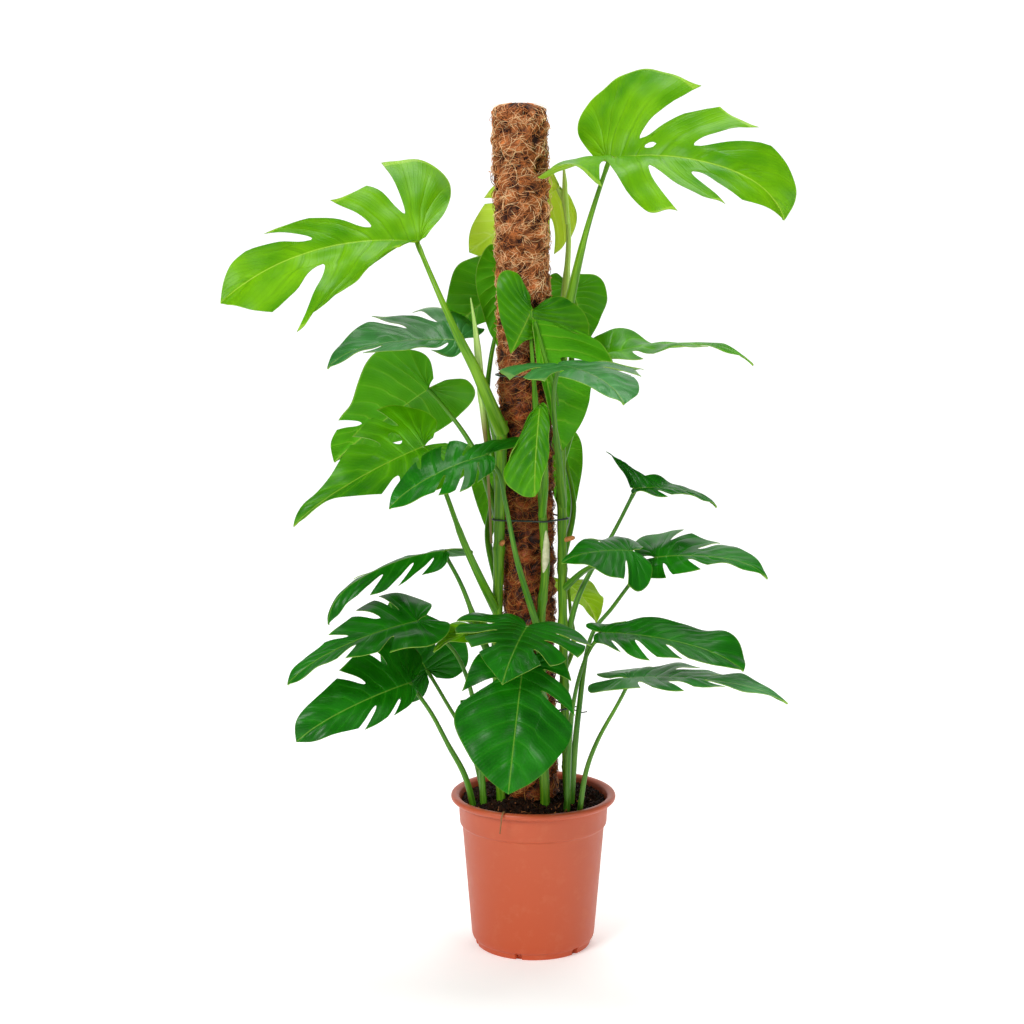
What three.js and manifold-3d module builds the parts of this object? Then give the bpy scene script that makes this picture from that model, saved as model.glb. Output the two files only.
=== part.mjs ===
// Potted swiss cheese plant on a coir pole, in millimetres, +Z up, base of the pot at the origin.
// The plant is seen from the front when looked at along +Y.
import * as THREE from 'three';
import Module from 'manifold-3d';

const wasm = await Module();
wasm.setup();

// Driving dimensions
const DEG = Math.PI / 180;
const CLEARANCE = 0.3;
const BLADE_THICKNESS = 1.3;
const MIDRIB_DEPTH = 1.6;
const PETIOLE_SIDES = 5;
const STEM_SIDES = 7;
const STEM_STEPS = 15;
const LATHE_SEGMENTS = 26;

const POT_HEIGHT = 225.5;
const POT_RIM_RADIUS = 120;
const POT_SHOULDER_Z = 182;
const POT_WALL = 3.2;
const POT_FLOOR = 6;
const FOOT_RADIUS = 84;
const FOOT_NOTCHES = 6;

const SOIL_EDGE_Z = 213;
const SOIL_MOUND = 9;
const SOIL_RINGS = 4;
const SOIL_SEGMENTS = 20;
const SOIL_SLACK = 1.2;

const POLE_TOP = 1211;
const POLE_FOOT = 40;
const POLE_RADIUS_TOP = 37.5;
const POLE_RADIUS_FOOT = 35.5;
const POLE_LEAN = 19;
const POLE_SIDES = 14;
const POLE_RINGS = 20;

const TIE_RADIUS = 1.3;
const TIE_SIDES = 4;
const TIE_STEPS = 20;

// Colours
const COLOUR = {
  pot: 0xc96844,
  soil: 0x2a2019,
  coir: 0x7d4a22,
  tie: 0x23302a,
  stem: 0x5f9418,
  youngLeaf: 0x6cb018,
  leaf: 0x3f8414,
  darkLeaf: 0x2a6a22,
  greyLeaf: 0x5e9163,
  bud: 0xa9c56a,
};

// Half outline of a blade: x in half widths, y in blade lengths, from the sinus round to the tip
const OUTLINES = {
  broad: [
    [0.1, -0.13],
    [0.42, -0.24],
    [0.8, -0.2],
    [1.03, -0.02],
    [1.05, 0.2],
    [0.92, 0.42],
    [0.7, 0.62],
    [0.43, 0.79],
    [0.16, 0.92],
    [0, 1],
  ],
  blunt: [
    [0.08, -0.08],
    [0.38, -0.17],
    [0.74, -0.12],
    [1.0, 0.04],
    [0.96, 0.2],
    [0.76, 0.4],
    [0.6, 0.58],
    [0.48, 0.76],
    [0.3, 0.91],
    [0, 1],
  ],
  shoulder: [
    [0.06, -0.03],
    [0.46, -0.13],
    [0.9, -0.16],
    [1.08, -0.06],
    [0.93, 0.11],
    [0.57, 0.26],
    [0.38, 0.45],
    [0.33, 0.67],
    [0.25, 0.86],
    [0, 1],
  ],
  drooping: [
    [0.02, 0.02],
    [0.27, 0.08],
    [0.54, 0.16],
    [0.79, 0.24],
    [0.93, 0.34],
    [1.0, 0.46],
    [0.74, 0.57],
    [0.62, 0.7],
    [0.4, 0.84],
    [0, 1],
  ],
  teardrop: [
    [0.05, 0.02],
    [0.2, 0.12],
    [0.42, 0.28],
    [0.62, 0.46],
    [0.85, 0.62],
    [1.0, 0.75],
    [0.92, 0.86],
    [0.62, 0.95],
    [0.3, 0.99],
    [0, 1],
  ],
  spurred: [
    [0.04, -0.05],
    [0.1, -0.25],
    [0.3, -0.46],
    [0.48, -0.5],
    [0.52, -0.3],
    [0.42, -0.02],
    [0.75, 0.16],
    [0.85, 0.4],
    [0.5, 0.74],
    [0, 1],
  ],
  horned: [
    [0.04, -0.04],
    [0.3, -0.08],
    [0.62, -0.14],
    [0.95, -0.2],
    [1.0, -0.24],
    [0.6, -0.06],
    [0.3, 0.08],
    [0.46, 0.3],
    [0.4, 0.6],
    [0, 1],
  ],
  late: [
    [0.06, -0.04],
    [0.3, -0.12],
    [0.6, -0.06],
    [0.76, 0.1],
    [0.86, 0.3],
    [0.96, 0.5],
    [1.0, 0.7],
    [0.9, 0.86],
    [0.5, 0.96],
    [0, 1],
  ],
  shield: [
    [0.06, -0.04],
    [0.3, -0.12],
    [0.62, -0.08],
    [0.8, 0.1],
    [0.88, 0.3],
    [1.0, 0.46],
    [0.97, 0.6],
    [0.72, 0.77],
    [0.36, 0.91],
    [0, 1],
  ],
  spoon: [
    [0.15, -0.16],
    [0.27, -0.3],
    [0.58, -0.52],
    [0.88, -0.53],
    [1.0, -0.4],
    [0.96, -0.1],
    [0.8, 0.17],
    [0.56, 0.46],
    [0.28, 0.72],
    [0, 1],
  ],
  dome: [
    [0.07, -0.2],
    [0.16, -0.4],
    [0.38, -0.62],
    [0.68, -0.63],
    [0.86, -0.49],
    [0.97, -0.32],
    [1.0, -0.12],
    [0.6, 0.12],
    [0.16, 0.5],
    [0, 1],
  ],
  trailing: [
    [0.02, 0],
    [0.1, 0.03],
    [0.23, 0.1],
    [0.37, 0.2],
    [0.51, 0.33],
    [0.63, 0.46],
    [0.8, 0.64],
    [0.88, 0.78],
    [0.4, 0.91],
    [0, 1],
  ],
  slim: [
    [0.04, 0],
    [0.25, -0.02],
    [0.5, 0.02],
    [0.72, 0.12],
    [0.88, 0.28],
    [0.9, 0.45],
    [0.8, 0.62],
    [0.6, 0.78],
    [0.34, 0.91],
    [0, 1],
  ],
};
const VEIN_FAN = 0.33;
const SLIT_HALF_GAP = 0.022;
const SLIT_ROUND_END = 0.35;
const NO_SLIT = 1;
const CALM_ROW = 0.45;
const OUTER_ROWS = [0, 0.45, 1];
const RIPPLE_WAVES = 3.2;
const HOOK_START = 0.55;
const OPEN_BY = 0.4;
const SPINE_STEPS = 24;
const NECK_SINK = 0.3;

/** Solid from flat arrays of corner positions and triangle indices. */
function solid(points, triangles) {
  const seen = new Map();
  const index = [];
  const corners = [];
  for (const point of points) {
    const key = point.map((v) => Math.round(v * 1000)).join(',');
    if (!seen.has(key)) {
      seen.set(key, corners.length / 3);
      corners.push(...point);
    }
    index.push(seen.get(key));
  }
  const kept = [];
  for (const [a, b, c] of triangles) {
    const face = [index[a], index[b], index[c]];
    if (face[0] !== face[1] && face[1] !== face[2] && face[2] !== face[0]) {
      kept.push(...face);
    }
  }
  return new wasm.Manifold(new wasm.Mesh({
    numProp: 3,
    vertProperties: new Float32Array(corners),
    triVerts: new Uint32Array(kept),
  }));
}

/** Largest single body of a solid. */
function mainBody(body) {
  return body.decompose().sort((a, b) => b.volume() - a.volume())[0];
}

/** Named mesh of a solid with its own material. */
function meshOf(name, body, colour, roughness, metalness = 0) {
  const { vertProperties, triVerts, numProp } = body.getMesh();
  const geometry = new THREE.BufferGeometry();
  const positions = new Float32Array((vertProperties.length / numProp) * 3);
  for (let i = 0; i < positions.length / 3; i += 1) {
    positions[3 * i] = vertProperties[numProp * i];
    positions[3 * i + 1] = vertProperties[numProp * i + 1];
    positions[3 * i + 2] = vertProperties[numProp * i + 2];
  }
  geometry.setAttribute('position', new THREE.BufferAttribute(positions, 3));
  geometry.setIndex(new THREE.BufferAttribute(new Uint32Array(triVerts), 1));
  geometry.computeVertexNormals();
  const material = new THREE.MeshStandardMaterial({ color: colour, roughness, metalness });
  const mesh = new THREE.Mesh(geometry, material);
  mesh.name = name;
  return mesh;
}

/** Solid skinned over closed rings of equal count, with a point closing either end. */
function skin(rings, start, end) {
  const count = rings[0].length;
  const points = rings.flat();
  const first = points.length;
  points.push(start, end);
  const triangles = [];
  for (let r = 0; r + 1 < rings.length; r += 1) {
    for (let i = 0; i < count; i += 1) {
      const a = r * count + i;
      const b = r * count + ((i + 1) % count);
      triangles.push([a, b, b + count], [a, b + count, a + count]);
    }
  }
  const last = (rings.length - 1) * count;
  for (let i = 0; i < count; i += 1) {
    const j = (i + 1) % count;
    triangles.push([first, j, i], [first + 1, last + i, last + j]);
  }
  return solid(points, triangles);
}

/** Solid of revolution about Z through (radius, height) pairs that start and end on the axis. */
function lathe(profile, segments = LATHE_SEGMENTS) {
  const rings = profile.slice(1, -1).map(([radius, z]) => {
    const ring = [];
    for (let i = 0; i < segments; i += 1) {
      const turn = (2 * Math.PI * i) / segments;
      ring.push([radius * Math.cos(turn), radius * Math.sin(turn), z]);
    }
    return ring;
  });
  return skin(rings, [0, 0, profile[0][1]], [0, 0, profile[profile.length - 1][1]]);
}

/** Smooth curve through points. */
function curveOf(points) {
  return new THREE.CatmullRomCurve3(points.map((p) => new THREE.Vector3(...p)), false, 'centripetal');
}

/** Round tube along a smooth curve, its radius a function of the share travelled. */
function tube(points, radiusAt, steps, sides) {
  const curve = curveOf(points);
  const rings = [];
  const centres = [];
  let across = new THREE.Vector3(1, 0, 0);
  for (let i = 0; i <= steps; i += 1) {
    const share = i / steps;
    const centre = curve.getPointAt(share);
    const along = curve.getTangentAt(share);
    across = across.clone().addScaledVector(along, -across.dot(along)).normalize();
    const beside = new THREE.Vector3().crossVectors(along, across);
    const radius = radiusAt(share);
    const ring = [];
    for (let k = 0; k < sides; k += 1) {
      const turn = (2 * Math.PI * k) / sides;
      ring.push(centre.clone()
        .addScaledVector(across, radius * Math.cos(turn))
        .addScaledVector(beside, radius * Math.sin(turn))
        .toArray());
    }
    rings.push(ring);
    centres.push(centre.toArray());
  }
  return skin(rings, centres[0], centres[steps]);
}

/** Smooth step from 0 to 1 as x goes from 0 to 1. */
function ease(x) {
  const held = Math.min(1, Math.max(0, x));
  return held * held * (3 - 2 * held);
}

/** Point of the half outline, q from 0 at the sinus to 1 at the tip. */
function outlineAt(outline, q) {
  const place = Math.min(q, 0.99999) * (outline.length - 1);
  const i = Math.floor(place);
  const f = place - i;
  const at = (k) => outline[Math.min(Math.max(k, 0), outline.length - 1)];
  return [0, 1].map((axis) => {
    const [a, b, c, d] = [at(i - 1)[axis], at(i)[axis], at(i + 1)[axis], at(i + 2)[axis]];
    return b + 0.5 * f * (c - a + f * (2 * a - 5 * b + 4 * c - d + f * (3 * (b - c) + d - a)));
  });
}

/** Bend of the spine after a share of its length, steeper beyond the start of the hook. */
function spineAngle(leaf, share) {
  const late = Math.max(0, (share - HOOK_START) / (1 - HOOK_START));
  return DEG * (leaf.arc * share + leaf.hook * late * late);
}

/** Spine of a unit blade: distance ahead and drop after a share of its length. */
function spineAt(leaf, share) {
  let ahead = 0;
  let up = 0;
  for (let i = 0; i < SPINE_STEPS; i += 1) {
    const angle = spineAngle(leaf, (share * (i + 0.5)) / SPINE_STEPS);
    ahead += (Math.cos(angle) * share) / SPINE_STEPS;
    up -= (Math.sin(angle) * share) / SPINE_STEPS;
  }
  return [ahead, up];
}

/** Frame of a blade from its attachment, tip and facing, with its length along the bent midrib. */
function bladeFrame(leaf) {
  const attach = new THREE.Vector3(...leaf.attach);
  const chord = new THREE.Vector3(...leaf.tip).sub(attach);
  const [ahead, up] = spineAt(leaf, 1);
  const length = chord.length() / Math.hypot(ahead, up);
  const drop = Math.atan2(-up, ahead);
  chord.normalize();
  const facing = new THREE.Vector3(...leaf.facing);
  facing.addScaledVector(chord, -facing.dot(chord)).normalize();
  const tangent = chord.clone().multiplyScalar(Math.cos(drop)).addScaledVector(facing, Math.sin(drop));
  const normal = facing.clone().multiplyScalar(Math.cos(drop)).addScaledVector(chord, -Math.sin(drop));
  return { attach, length, tangent, normal, across: new THREE.Vector3().crossVectors(chord, facing) };
}

/** Point of a blade: side -1 left or +1 right, q round the outline, s from midrib to margin. */
function bladePoint(leaf, frame, side, q, s) {
  const half = side > 0 ? 1 : 0;
  const [ox, oy] = outlineAt(OUTLINES[leaf.outline[half]], q);
  const narrowing = 1 - leaf.taper[half] * ease((oy - 0.25) / 0.5);
  const xEdge = ox * narrowing * leaf.width[half];
  const yEdge = oy * frame.length;
  const yVein = frame.length * Math.max(0, (q - VEIN_FAN) / (1 - VEIN_FAN)) ** leaf.sweep;
  const yBend = yVein + 0.25 * (yEdge - yVein);
  const x = s * (1 - s) * xEdge + s * s * xEdge;
  const y = (1 - s) * (1 - s) * yVein + 2 * s * (1 - s) * yBend + s * s * yEdge;

  const roll = leaf.roll[half] * DEG;
  const rollRadius = leaf.width[half] / roll;
  const rolledOut = rollRadius * Math.sin(x / rollRadius);
  const rolledUp = -rollRadius * (1 - Math.cos(x / rollRadius));
  const share = y / frame.length;
  const open = leaf.open ? leaf.open[half] : leaf.fold[half];
  const fold = (leaf.fold[half] + (open - leaf.fold[half]) * ease(share / OPEN_BY)) * DEG;
  const out = rolledOut * Math.cos(fold) - rolledUp * Math.sin(fold);
  const ripple = leaf.ripple * s * s * Math.sin(2 * Math.PI * RIPPLE_WAVES * q + side);
  const up = rolledOut * Math.sin(fold) + rolledUp * Math.cos(fold) + ripple * Math.min(1, ox * 2);

  const bend = leaf.bend * DEG;
  const yaw = bend * (share - 0.5);
  const aside = 0.5 * bend * (share * share - share) * frame.length + side * out * Math.cos(yaw);
  const angle = spineAngle(leaf, share);
  const [ahead, drop] = spineAt(leaf, share - (side * out * Math.sin(yaw)) / frame.length);
  const along = ahead * frame.length + up * Math.sin(angle);
  const above = drop * frame.length + up * Math.cos(angle);
  return frame.attach.clone()
    .addScaledVector(frame.across, aside)
    .addScaledVector(frame.tangent, along)
    .addScaledVector(frame.normal, above);
}

/** Fingers of one half blade: outline range, slit depth and openness at either edge. */
function fingersOf(leaf, side) {
  const edges = leaf.slits.map(([q, left, right]) => ({ q, depth: side > 0 ? right : left }));
  const marks = [{ q: 0, depth: NO_SLIT }, ...edges, { q: 1, depth: NO_SLIT }];
  return marks.slice(1).map((far, i) => ({ near: marks[i], far }));
}

/** Half gap of a slit at a share of its depth, round at the inner end. */
function slitGap(leaf, t) {
  const end = 1 - Math.min(1, t / SLIT_ROUND_END);
  return SLIT_HALF_GAP * leaf.gap * Math.sqrt(1 - end * end) * (0.75 + 0.25 * t);
}

/** Outline position and share from midrib to margin of one grid corner of a finger. */
function fingerCorner(leaf, finger, c, t) {
  const nearOpen = finger.near.depth < NO_SLIT;
  const farOpen = finger.far.depth < NO_SLIT;
  const gap = slitGap(leaf, t);
  const from = finger.near.q + (nearOpen ? gap * (1 + leaf.flare * t * t) : 0);
  const to = finger.far.q - (farOpen ? 0.6 * gap : 0);
  const nearRow = nearOpen ? finger.near.depth : CALM_ROW;
  const farRow = farOpen ? finger.far.depth : CALM_ROW;
  const inner = nearRow + (farRow - nearRow) * c;
  const rounding = nearOpen ? leaf.round * (1 - c) ** 3 : 0;
  const point = farOpen ? leaf.point * c ** 4 : 0;
  return { q: from + (to - from) * c, s: inner + (1 - rounding + point - inner) * t };
}

/** Thin blade of a leaf as a closed solid with a raised midrib below. */
function bladeOf(leaf) {
  const frame = bladeFrame(leaf);
  const points = [];
  const faces = [];
  const ribs = [];
  for (const side of [-1, 1]) {
    for (const finger of fingersOf(leaf, side)) {
      const columns = Math.max(1, Math.round((finger.far.q - finger.near.q) / leaf.step));
      const rows = OUTER_ROWS.length + 1;
      const first = points.length;
      for (let i = 0; i <= columns; i += 1) {
        const c = i / columns;
        const q = finger.near.q + (finger.far.q - finger.near.q) * c;
        points.push(bladePoint(leaf, frame, side, q, 0));
        ribs.push(true);
        for (const t of OUTER_ROWS) {
          const corner = fingerCorner(leaf, finger, c, t);
          points.push(bladePoint(leaf, frame, side, corner.q, corner.s));
          ribs.push(false);
        }
      }
      for (let i = 0; i < columns; i += 1) {
        for (let j = 0; j + 1 < rows; j += 1) {
          const a = first + i * rows + j;
          const b = a + rows;
          const quad = [[a, a + 1, b + 1], [a, b + 1, b]];
          faces.push(...(side > 0 ? quad : quad.map(([p, q, r]) => [p, r, q])));
        }
      }
    }
  }
  return thicken(points, faces, ribs);
}

/** Closed sheet of blade thickness over an open surface, deeper below its rib corners. */
function thicken(points, faces, ribs) {
  const seen = new Map();
  const index = points.map((p) => {
    const key = p.toArray().map((v) => Math.round(v * 1000)).join(',');
    if (!seen.has(key)) {
      seen.set(key, { id: seen.size, point: p, normal: new THREE.Vector3(), rib: false });
    }
    return seen.get(key);
  });
  ribs.forEach((rib, i) => {
    index[i].rib = index[i].rib || rib;
  });
  const kept = [];
  for (const face of faces) {
    const [a, b, c] = face.map((i) => index[i]);
    if (a !== b && b !== c && c !== a) {
      const normal = b.point.clone().sub(a.point).cross(c.point.clone().sub(a.point));
      [a, b, c].forEach((corner) => corner.normal.add(normal));
      kept.push([a.id, b.id, c.id]);
    }
  }
  const corners = [...seen.values()];
  const shift = (corner, by) => {
    const unit = corner.normal.clone().normalize();
    return corner.point.clone().addScaledVector(unit, by).toArray();
  };
  const top = corners.map((corner) => shift(corner, BLADE_THICKNESS / 2));
  const depthOf = (corner) => BLADE_THICKNESS / 2 + (corner.rib ? MIDRIB_DEPTH : 0);
  const bottom = corners.map((corner) => shift(corner, -depthOf(corner)));
  const under = corners.length;
  const triangles = [];
  const edges = new Set(kept.flatMap(([a, b, c]) => [`${a},${b}`, `${b},${c}`, `${c},${a}`]));
  for (const [a, b, c] of kept) {
    triangles.push([a, b, c], [under + a, under + c, under + b]);
    for (const [p, q] of [[a, b], [b, c], [c, a]]) {
      if (!edges.has(`${q},${p}`)) {
        triangles.push([q, p, under + p], [q, under + p, under + q]);
      }
    }
  }
  return solid([...top, ...bottom], triangles);
}

/** Leaf stalk that rises from its stem and ends in a knuckle under the blade. */
function petioleOf(leaf) {
  const frame = bladeFrame(leaf);
  const [base, neck] = leaf.stalk;
  const knuckle = frame.attach.clone()
    .addScaledVector(frame.tangent, neck)
    .addScaledVector(frame.normal, -NECK_SINK * neck);
  const route = [...leaf.route, knuckle.toArray()];
  const radiusAt = (share) => neck + (base - neck) * (1 - share) ** leaf.sheath;
  return tube(route, radiusAt, leaf.route.length + 1, PETIOLE_SIDES);
}

// Stems: route from the soil upwards, radius at the foot and at the top
const STEMS = {
  stem_left: {
    route: [
      [-46, -22, 190],
      [-50, -22, 300],
      [-52, -24, 484],
      [-50, -30, 570],
      [-48, -36, 658],
      [-45, -38, 772],
    ],
    radius: [6.5, 8],
    nodes: [340, 450, 590, 690],
    stubs: [[[-48, -32, 594], [-43, -46, 602]]],
  },
  stem_centre: {
    route: [
      [18, -48, 190],
      [13, -48, 330],
      [10, -48, 489],
      [16, -48, 565],
      [12, -50, 640],
      [10, -52, 690],
    ],
    radius: [7, 5.5],
    nodes: [300, 410, 520, 600],
    stubs: [],
  },
  stem_right: {
    route: [
      [50, -18, 190],
      [46, -22, 330],
      [41, -25, 506],
      [40, -24, 611],
      [38, -18, 743],
      [38, -4, 850],
      [38, 2, 905],
    ],
    radius: [6, 7],
    nodes: [270, 390, 480, 560, 660, 760],
    stubs: [[[40, -24, 600], [57, -34, 606]]],
  },
};
const NODE_SWELL = 0.22;
const NODE_SPREAD = 7;
const STUB_RADIUS = 3.6;

/** Stem tube, swollen at its nodes, with stubs of old stalks; a margin grows it to cut a hole. */
function stemOf({ route, radius, nodes, stubs }, margin = 0) {
  const bottom = route[0][2];
  const top = route[route.length - 1][2];
  const radiusAt = (share) => {
    const z = bottom + (top - bottom) * share;
    const swell = nodes.reduce((sum, node) => sum + Math.exp(-(((z - node) / NODE_SPREAD) ** 2)), 0);
    return (radius[0] + (radius[1] - radius[0]) * share) * (1 + NODE_SWELL * swell) + margin;
  };
  const stem = tube(route, radiusAt, STEM_STEPS, STEM_SIDES);
  return stubs
    .map(([from, to]) => tube([from, to], () => STUB_RADIUS + margin, 1, PETIOLE_SIDES))
    .reduce((sum, stub) => sum.add(stub), stem);
}

// Leaves: attachment, tip and facing of the blade, half widths, and the route of the stalk from its
// foot. Angles are in degrees; a slit is [place on the outline, depth left, depth right].
const MATURE = {
  arc: 28,
  hook: 20,
  roll: [22, 22],
  fold: [10, 10],
  outline: ['broad', 'broad'],
  taper: [0.15, 0.15],
  sweep: 1.4,
  bend: 0,
  ripple: 3,
  gap: 1,
  flare: 0.3,
  round: 0.06,
  point: 0.02,
  slits: [],
  stalk: [6, 2.8],
  sheath: 1.6,
  step: 0.115,
  colour: 'leaf',
};
const LEAVES = [
  {
    name: 'leaf_01', colour: 'youngLeaf', attach: [-159, -40, 1020], tip: [-424, -120, 939],
    facing: [-0.1, -0.86, 0.5], width: [128, 140], outline: ['trailing', 'shoulder'],
    taper: [0, 0], arc: 30, hook: 10, roll: [12, 16], fold: [50, 8], open: [16, 12], bend: -34,
    slits: [[0.46, 1, 0.36], [0.63, 1, 0.34], [0.79, 0.26, 0.36]], sweep: 2.2,
    gap: 1.5, flare: 0.8, point: 0.05, stalk: [9, 3.2], step: 0.075,
    route: [[-45, -38, 756], [-62, -66, 800], [-79, -80, 842], [-109, -88, 902], [-139, -72, 968]],
  },
  {
    name: 'leaf_02', colour: 'youngLeaf', attach: [100, -30, 1132], tip: [335, -110, 1049],
    facing: [0.05, -0.42, 0.9], width: [142, 104], outline: ['blunt', 'broad'], arc: 52, hook: 44,
    fold: [50, 28], open: [42, -18], sweep: 1.8, bend: -8,
    slits: [[0.44, 1, 0.45], [0.54, 0.24, 1], [0.6, 1, 0.36], [0.72, 0.3, 0.42]],
    gap: 1.5, flare: 0.8, point: 0.06, stalk: [9, 3], step: 0.075,
    route: [[38, 0, 880], [53, -12, 953], [71, -20, 1030], [87, -26, 1084]],
  },
  {
    name: 'leaf_03', colour: 'youngLeaf', attach: [37, 64, 1097], tip: [-94, 120, 1004],
    facing: [0.3, 0.9, 0.3], width: [70, 84], outline: ['slim', 'slim'], arc: 16,
    slits: [[0.4, 0.45, 0.45], [0.53, 0.4, 0.4], [0.67, 0.5, 0.5]], stalk: [8, 3],
    route: [[38, 0, 850], [44, 50, 930], [50, 60, 1029], [46, 62, 1068]], bud: 'new_leaf_top',
  },
  {
    name: 'leaf_04', attach: [-42, 84, 958], tip: [-130, 124, 878], facing: [0.1, 0.75, 0.6],
    width: [66, 44], arc: 20,
    route: [[-47, -36, 680], [-68, 6, 760], [-62, 62, 850], [-50, 80, 908]],
  },
  {
    name: 'leaf_05', attach: [56, 84, 955], tip: [80, 130, 870], facing: [0.2, 0.85, 0.4],
    width: [40, 46], arc: 16,
    route: [[37, -6, 765], [54, 44, 850], [58, 74, 920]],
  },
  {
    name: 'leaf_06', attach: [-3, -52, 928], tip: [-33, -60, 867], facing: [0.1, -1, 0.05],
    width: [104, 60], outline: ['dome', 'spoon'], taper: [0, 0], arc: 16, hook: 10, roll: [30, 24],
    fold: [-10, 2], ripple: 1.5, stalk: [5, 2.6],
    route: [[10, -52, 684], [4, -58, 760], [1, -54, 808], [-4, -51, 886]],
  },
  {
    name: 'leaf_07', attach: [0, -60, 914], tip: [39, -52, 730], facing: [-0.1, 0.95, 0.1],
    width: [10, 98], outline: ['slim', 'drooping'], arc: 10, roll: [10, 14], fold: [-20, 6],
    slits: [[0.6, 1, 0.3]], gap: 1.5, stalk: [5, 2.6],
    route: [[38, -20, 712], [34, -38, 790], [14, -54, 866]],
  },
  {
    name: 'leaf_08', colour: 'greyLeaf', attach: [31, -112, 856], tip: [114, -250, 814],
    facing: [0.05, -0.1, 1], width: [112, 84], outline: ['blunt', 'broad'], arc: 22, hook: 24,
    fold: [5, 6], slits: [[0.45, 0.45, 0.45], [0.6, 0.45, 0.45]], point: 0.1,
    route: [[40, -24, 650], [34, -62, 720], [28, -88, 770], [26, -104, 816]],
  },
  {
    name: 'leaf_09', colour: 'leaf', attach: [104, 42, 860], tip: [310, -8, 848],
    facing: [0.05, -0.06, 1], width: [54, 56], taper: [0.4, 0.15], arc: 30, hook: 34,
    fold: [44, 4], open: [-4, 2], slits: [[0.5, 1, 0.45], [0.62, 0.5, 1], [0.72, 1, 0.5]],
    route: [[39, -14, 715], [66, 30, 784], [90, 42, 836]],
  },
  {
    name: 'leaf_10', attach: [7, -118, 802], tip: [0, -136, 678], facing: [-0.2, -0.95, 0.15],
    width: [20, 44], outline: ['slim', 'teardrop'], taper: [0, 0], arc: 20, roll: [22, 30],
    stalk: [5, 2.6],
    route: [[11, -52, 640], [15, -84, 690], [12, -108, 756]],
  },
  {
    name: 'leaf_11', attach: [44, 80, 722], tip: [50, 104, 590], facing: [0.1, 0.9, 0.35],
    width: [26, 26], arc: 24, route: [[40, -22, 570], [58, 34, 640], [48, 70, 700]],
  },
  {
    name: 'leaf_12', attach: [-54, 70, 700], tip: [-62, 98, 584], facing: [-0.15, 0.9, 0.35],
    width: [34, 34], arc: 24, route: [[-51, -28, 540], [-66, 26, 600], [-58, 60, 660]],
  },
  {
    name: 'leaf_13', colour: 'greyLeaf', attach: [-104, 14, 882], tip: [-288, -50, 846],
    facing: [0, -0.3, 1], width: [42, 92], outline: ['slim', 'broad'], arc: 22, hook: 34,
    fold: [-30, 19], open: [10, 16], slits: [[0.44, 0.2, 0.42], [0.6, 1, 0.42], [0.74, 0.5, 1]],
    flare: 1.5, point: 0.12,
    route: [[-46, -36, 705], [-60, -14, 770], [-84, 6, 845]],
  },
  {
    name: 'leaf_14', attach: [-150, 48, 812], tip: [-292, 80, 700], facing: [0.1, 0.85, 0.45],
    width: [98, 74], outline: ['blunt', 'broad'], arc: 16, fold: [0, 30],
    slits: [[0.78, 0.4, 1]], gap: 1.3, flare: 0.3,
    route: [[-49, -32, 630], [-88, 20, 729], [-134, 46, 790]],
  },
  {
    name: 'leaf_15', attach: [-153, -40, 737], tip: [-334, -90, 630], facing: [-0.1, -0.7, 0.7],
    width: [74, 92], outline: ['broad', 'blunt'], taper: [0.8, 0.6], arc: 26, hook: 14, fold: [8, 10],
    slits: [[0.4, 1, 0.5], [0.54, 0.5, 0.42]],
    route: [[-52, -24, 497], [-76, -56, 552], [-99, -62, 605], [-122, -58, 668], [-140, -50, 715]],
  },
  {
    name: 'leaf_16', colour: 'darkLeaf', attach: [-67, -110, 732], tip: [-196, -175, 667],
    facing: [0.05, -0.5, 0.86], width: [56, 66], outline: ['slim', 'spurred'], arc: 30,
    fold: [12, 2], gap: 0.7, flare: 0.2,
    slits: [[0.46, 0.3, 1], [0.57, 0.3, 0.3], [0.68, 0.35, 0.3], [0.8, 1, 0.4]],
    route: [[8, -52, 470], [-24, -82, 581], [-40, -98, 664], [-50, -106, 709]],
  },
  {
    name: 'leaf_17', colour: 'darkLeaf', attach: [-126, -30, 587], tip: [-288, -84, 490],
    facing: [-0.15, -0.1, 1], width: [42, 60], outline: ['slim', 'broad'], arc: 40, hook: 50,
    fold: [-38, -10], slits: [[0.42, 0.3, 0.4], [0.54, 0.3, 0.4], [0.68, 0.4, 0.4]], flare: 1.5,
    route: [[-50, -22, 400], [-78, -30, 470], [-103, -34, 538]],
  },
  {
    name: 'leaf_18', colour: 'darkLeaf', attach: [-163, -90, 497], tip: [-339, -150, 420],
    facing: [-0.1, -0.45, 0.9], width: [66, 80], outline: ['blunt', 'blunt'], taper: [0.3, 0.5],
    fold: [14, 8], slits: [[0.4, 1, 0.4], [0.52, 0.45, 0.4], [0.68, 0.5, 0.5]], stalk: [5, 2.6],
    route: [[-70, -34, 190], [-84, -40, 360], [-108, -50, 437], [-140, -68, 476]],
  },
  {
    name: 'leaf_19', colour: 'darkLeaf', attach: [-173, -70, 405], tip: [-330, -130, 334],
    facing: [-0.1, -0.72, 0.68], width: [44, 82], outline: ['slim', 'blunt'], fold: [-8, 20],
    slits: [[0.44, 0.45, 0.45], [0.6, 0.4, 0.4]], stalk: [5, 2.9],
    route: [[-82, -30, 190], [-98, -48, 262], [-122, -62, 313], [-147, -68, 363]],
  },
  {
    name: 'leaf_20', colour: 'darkLeaf', attach: [-153, -10, 408], tip: [-210, 34, 500],
    facing: [-0.3, -0.85, 0.4], width: [62, 66], arc: 20,
    slits: [[0.5, 0.45, 0.45]],
    route: [[-66, -12, 190], [-88, -14, 290], [-130, -14, 370]], stalk: [5, 2.6],
  },
  {
    name: 'leaf_21', colour: 'darkLeaf', attach: [-16, -150, 449], tip: [-36, -228, 288],
    facing: [0, -0.85, 0.55], width: [86, 90], arc: 24, hook: 10, fold: [4, 8],
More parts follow.
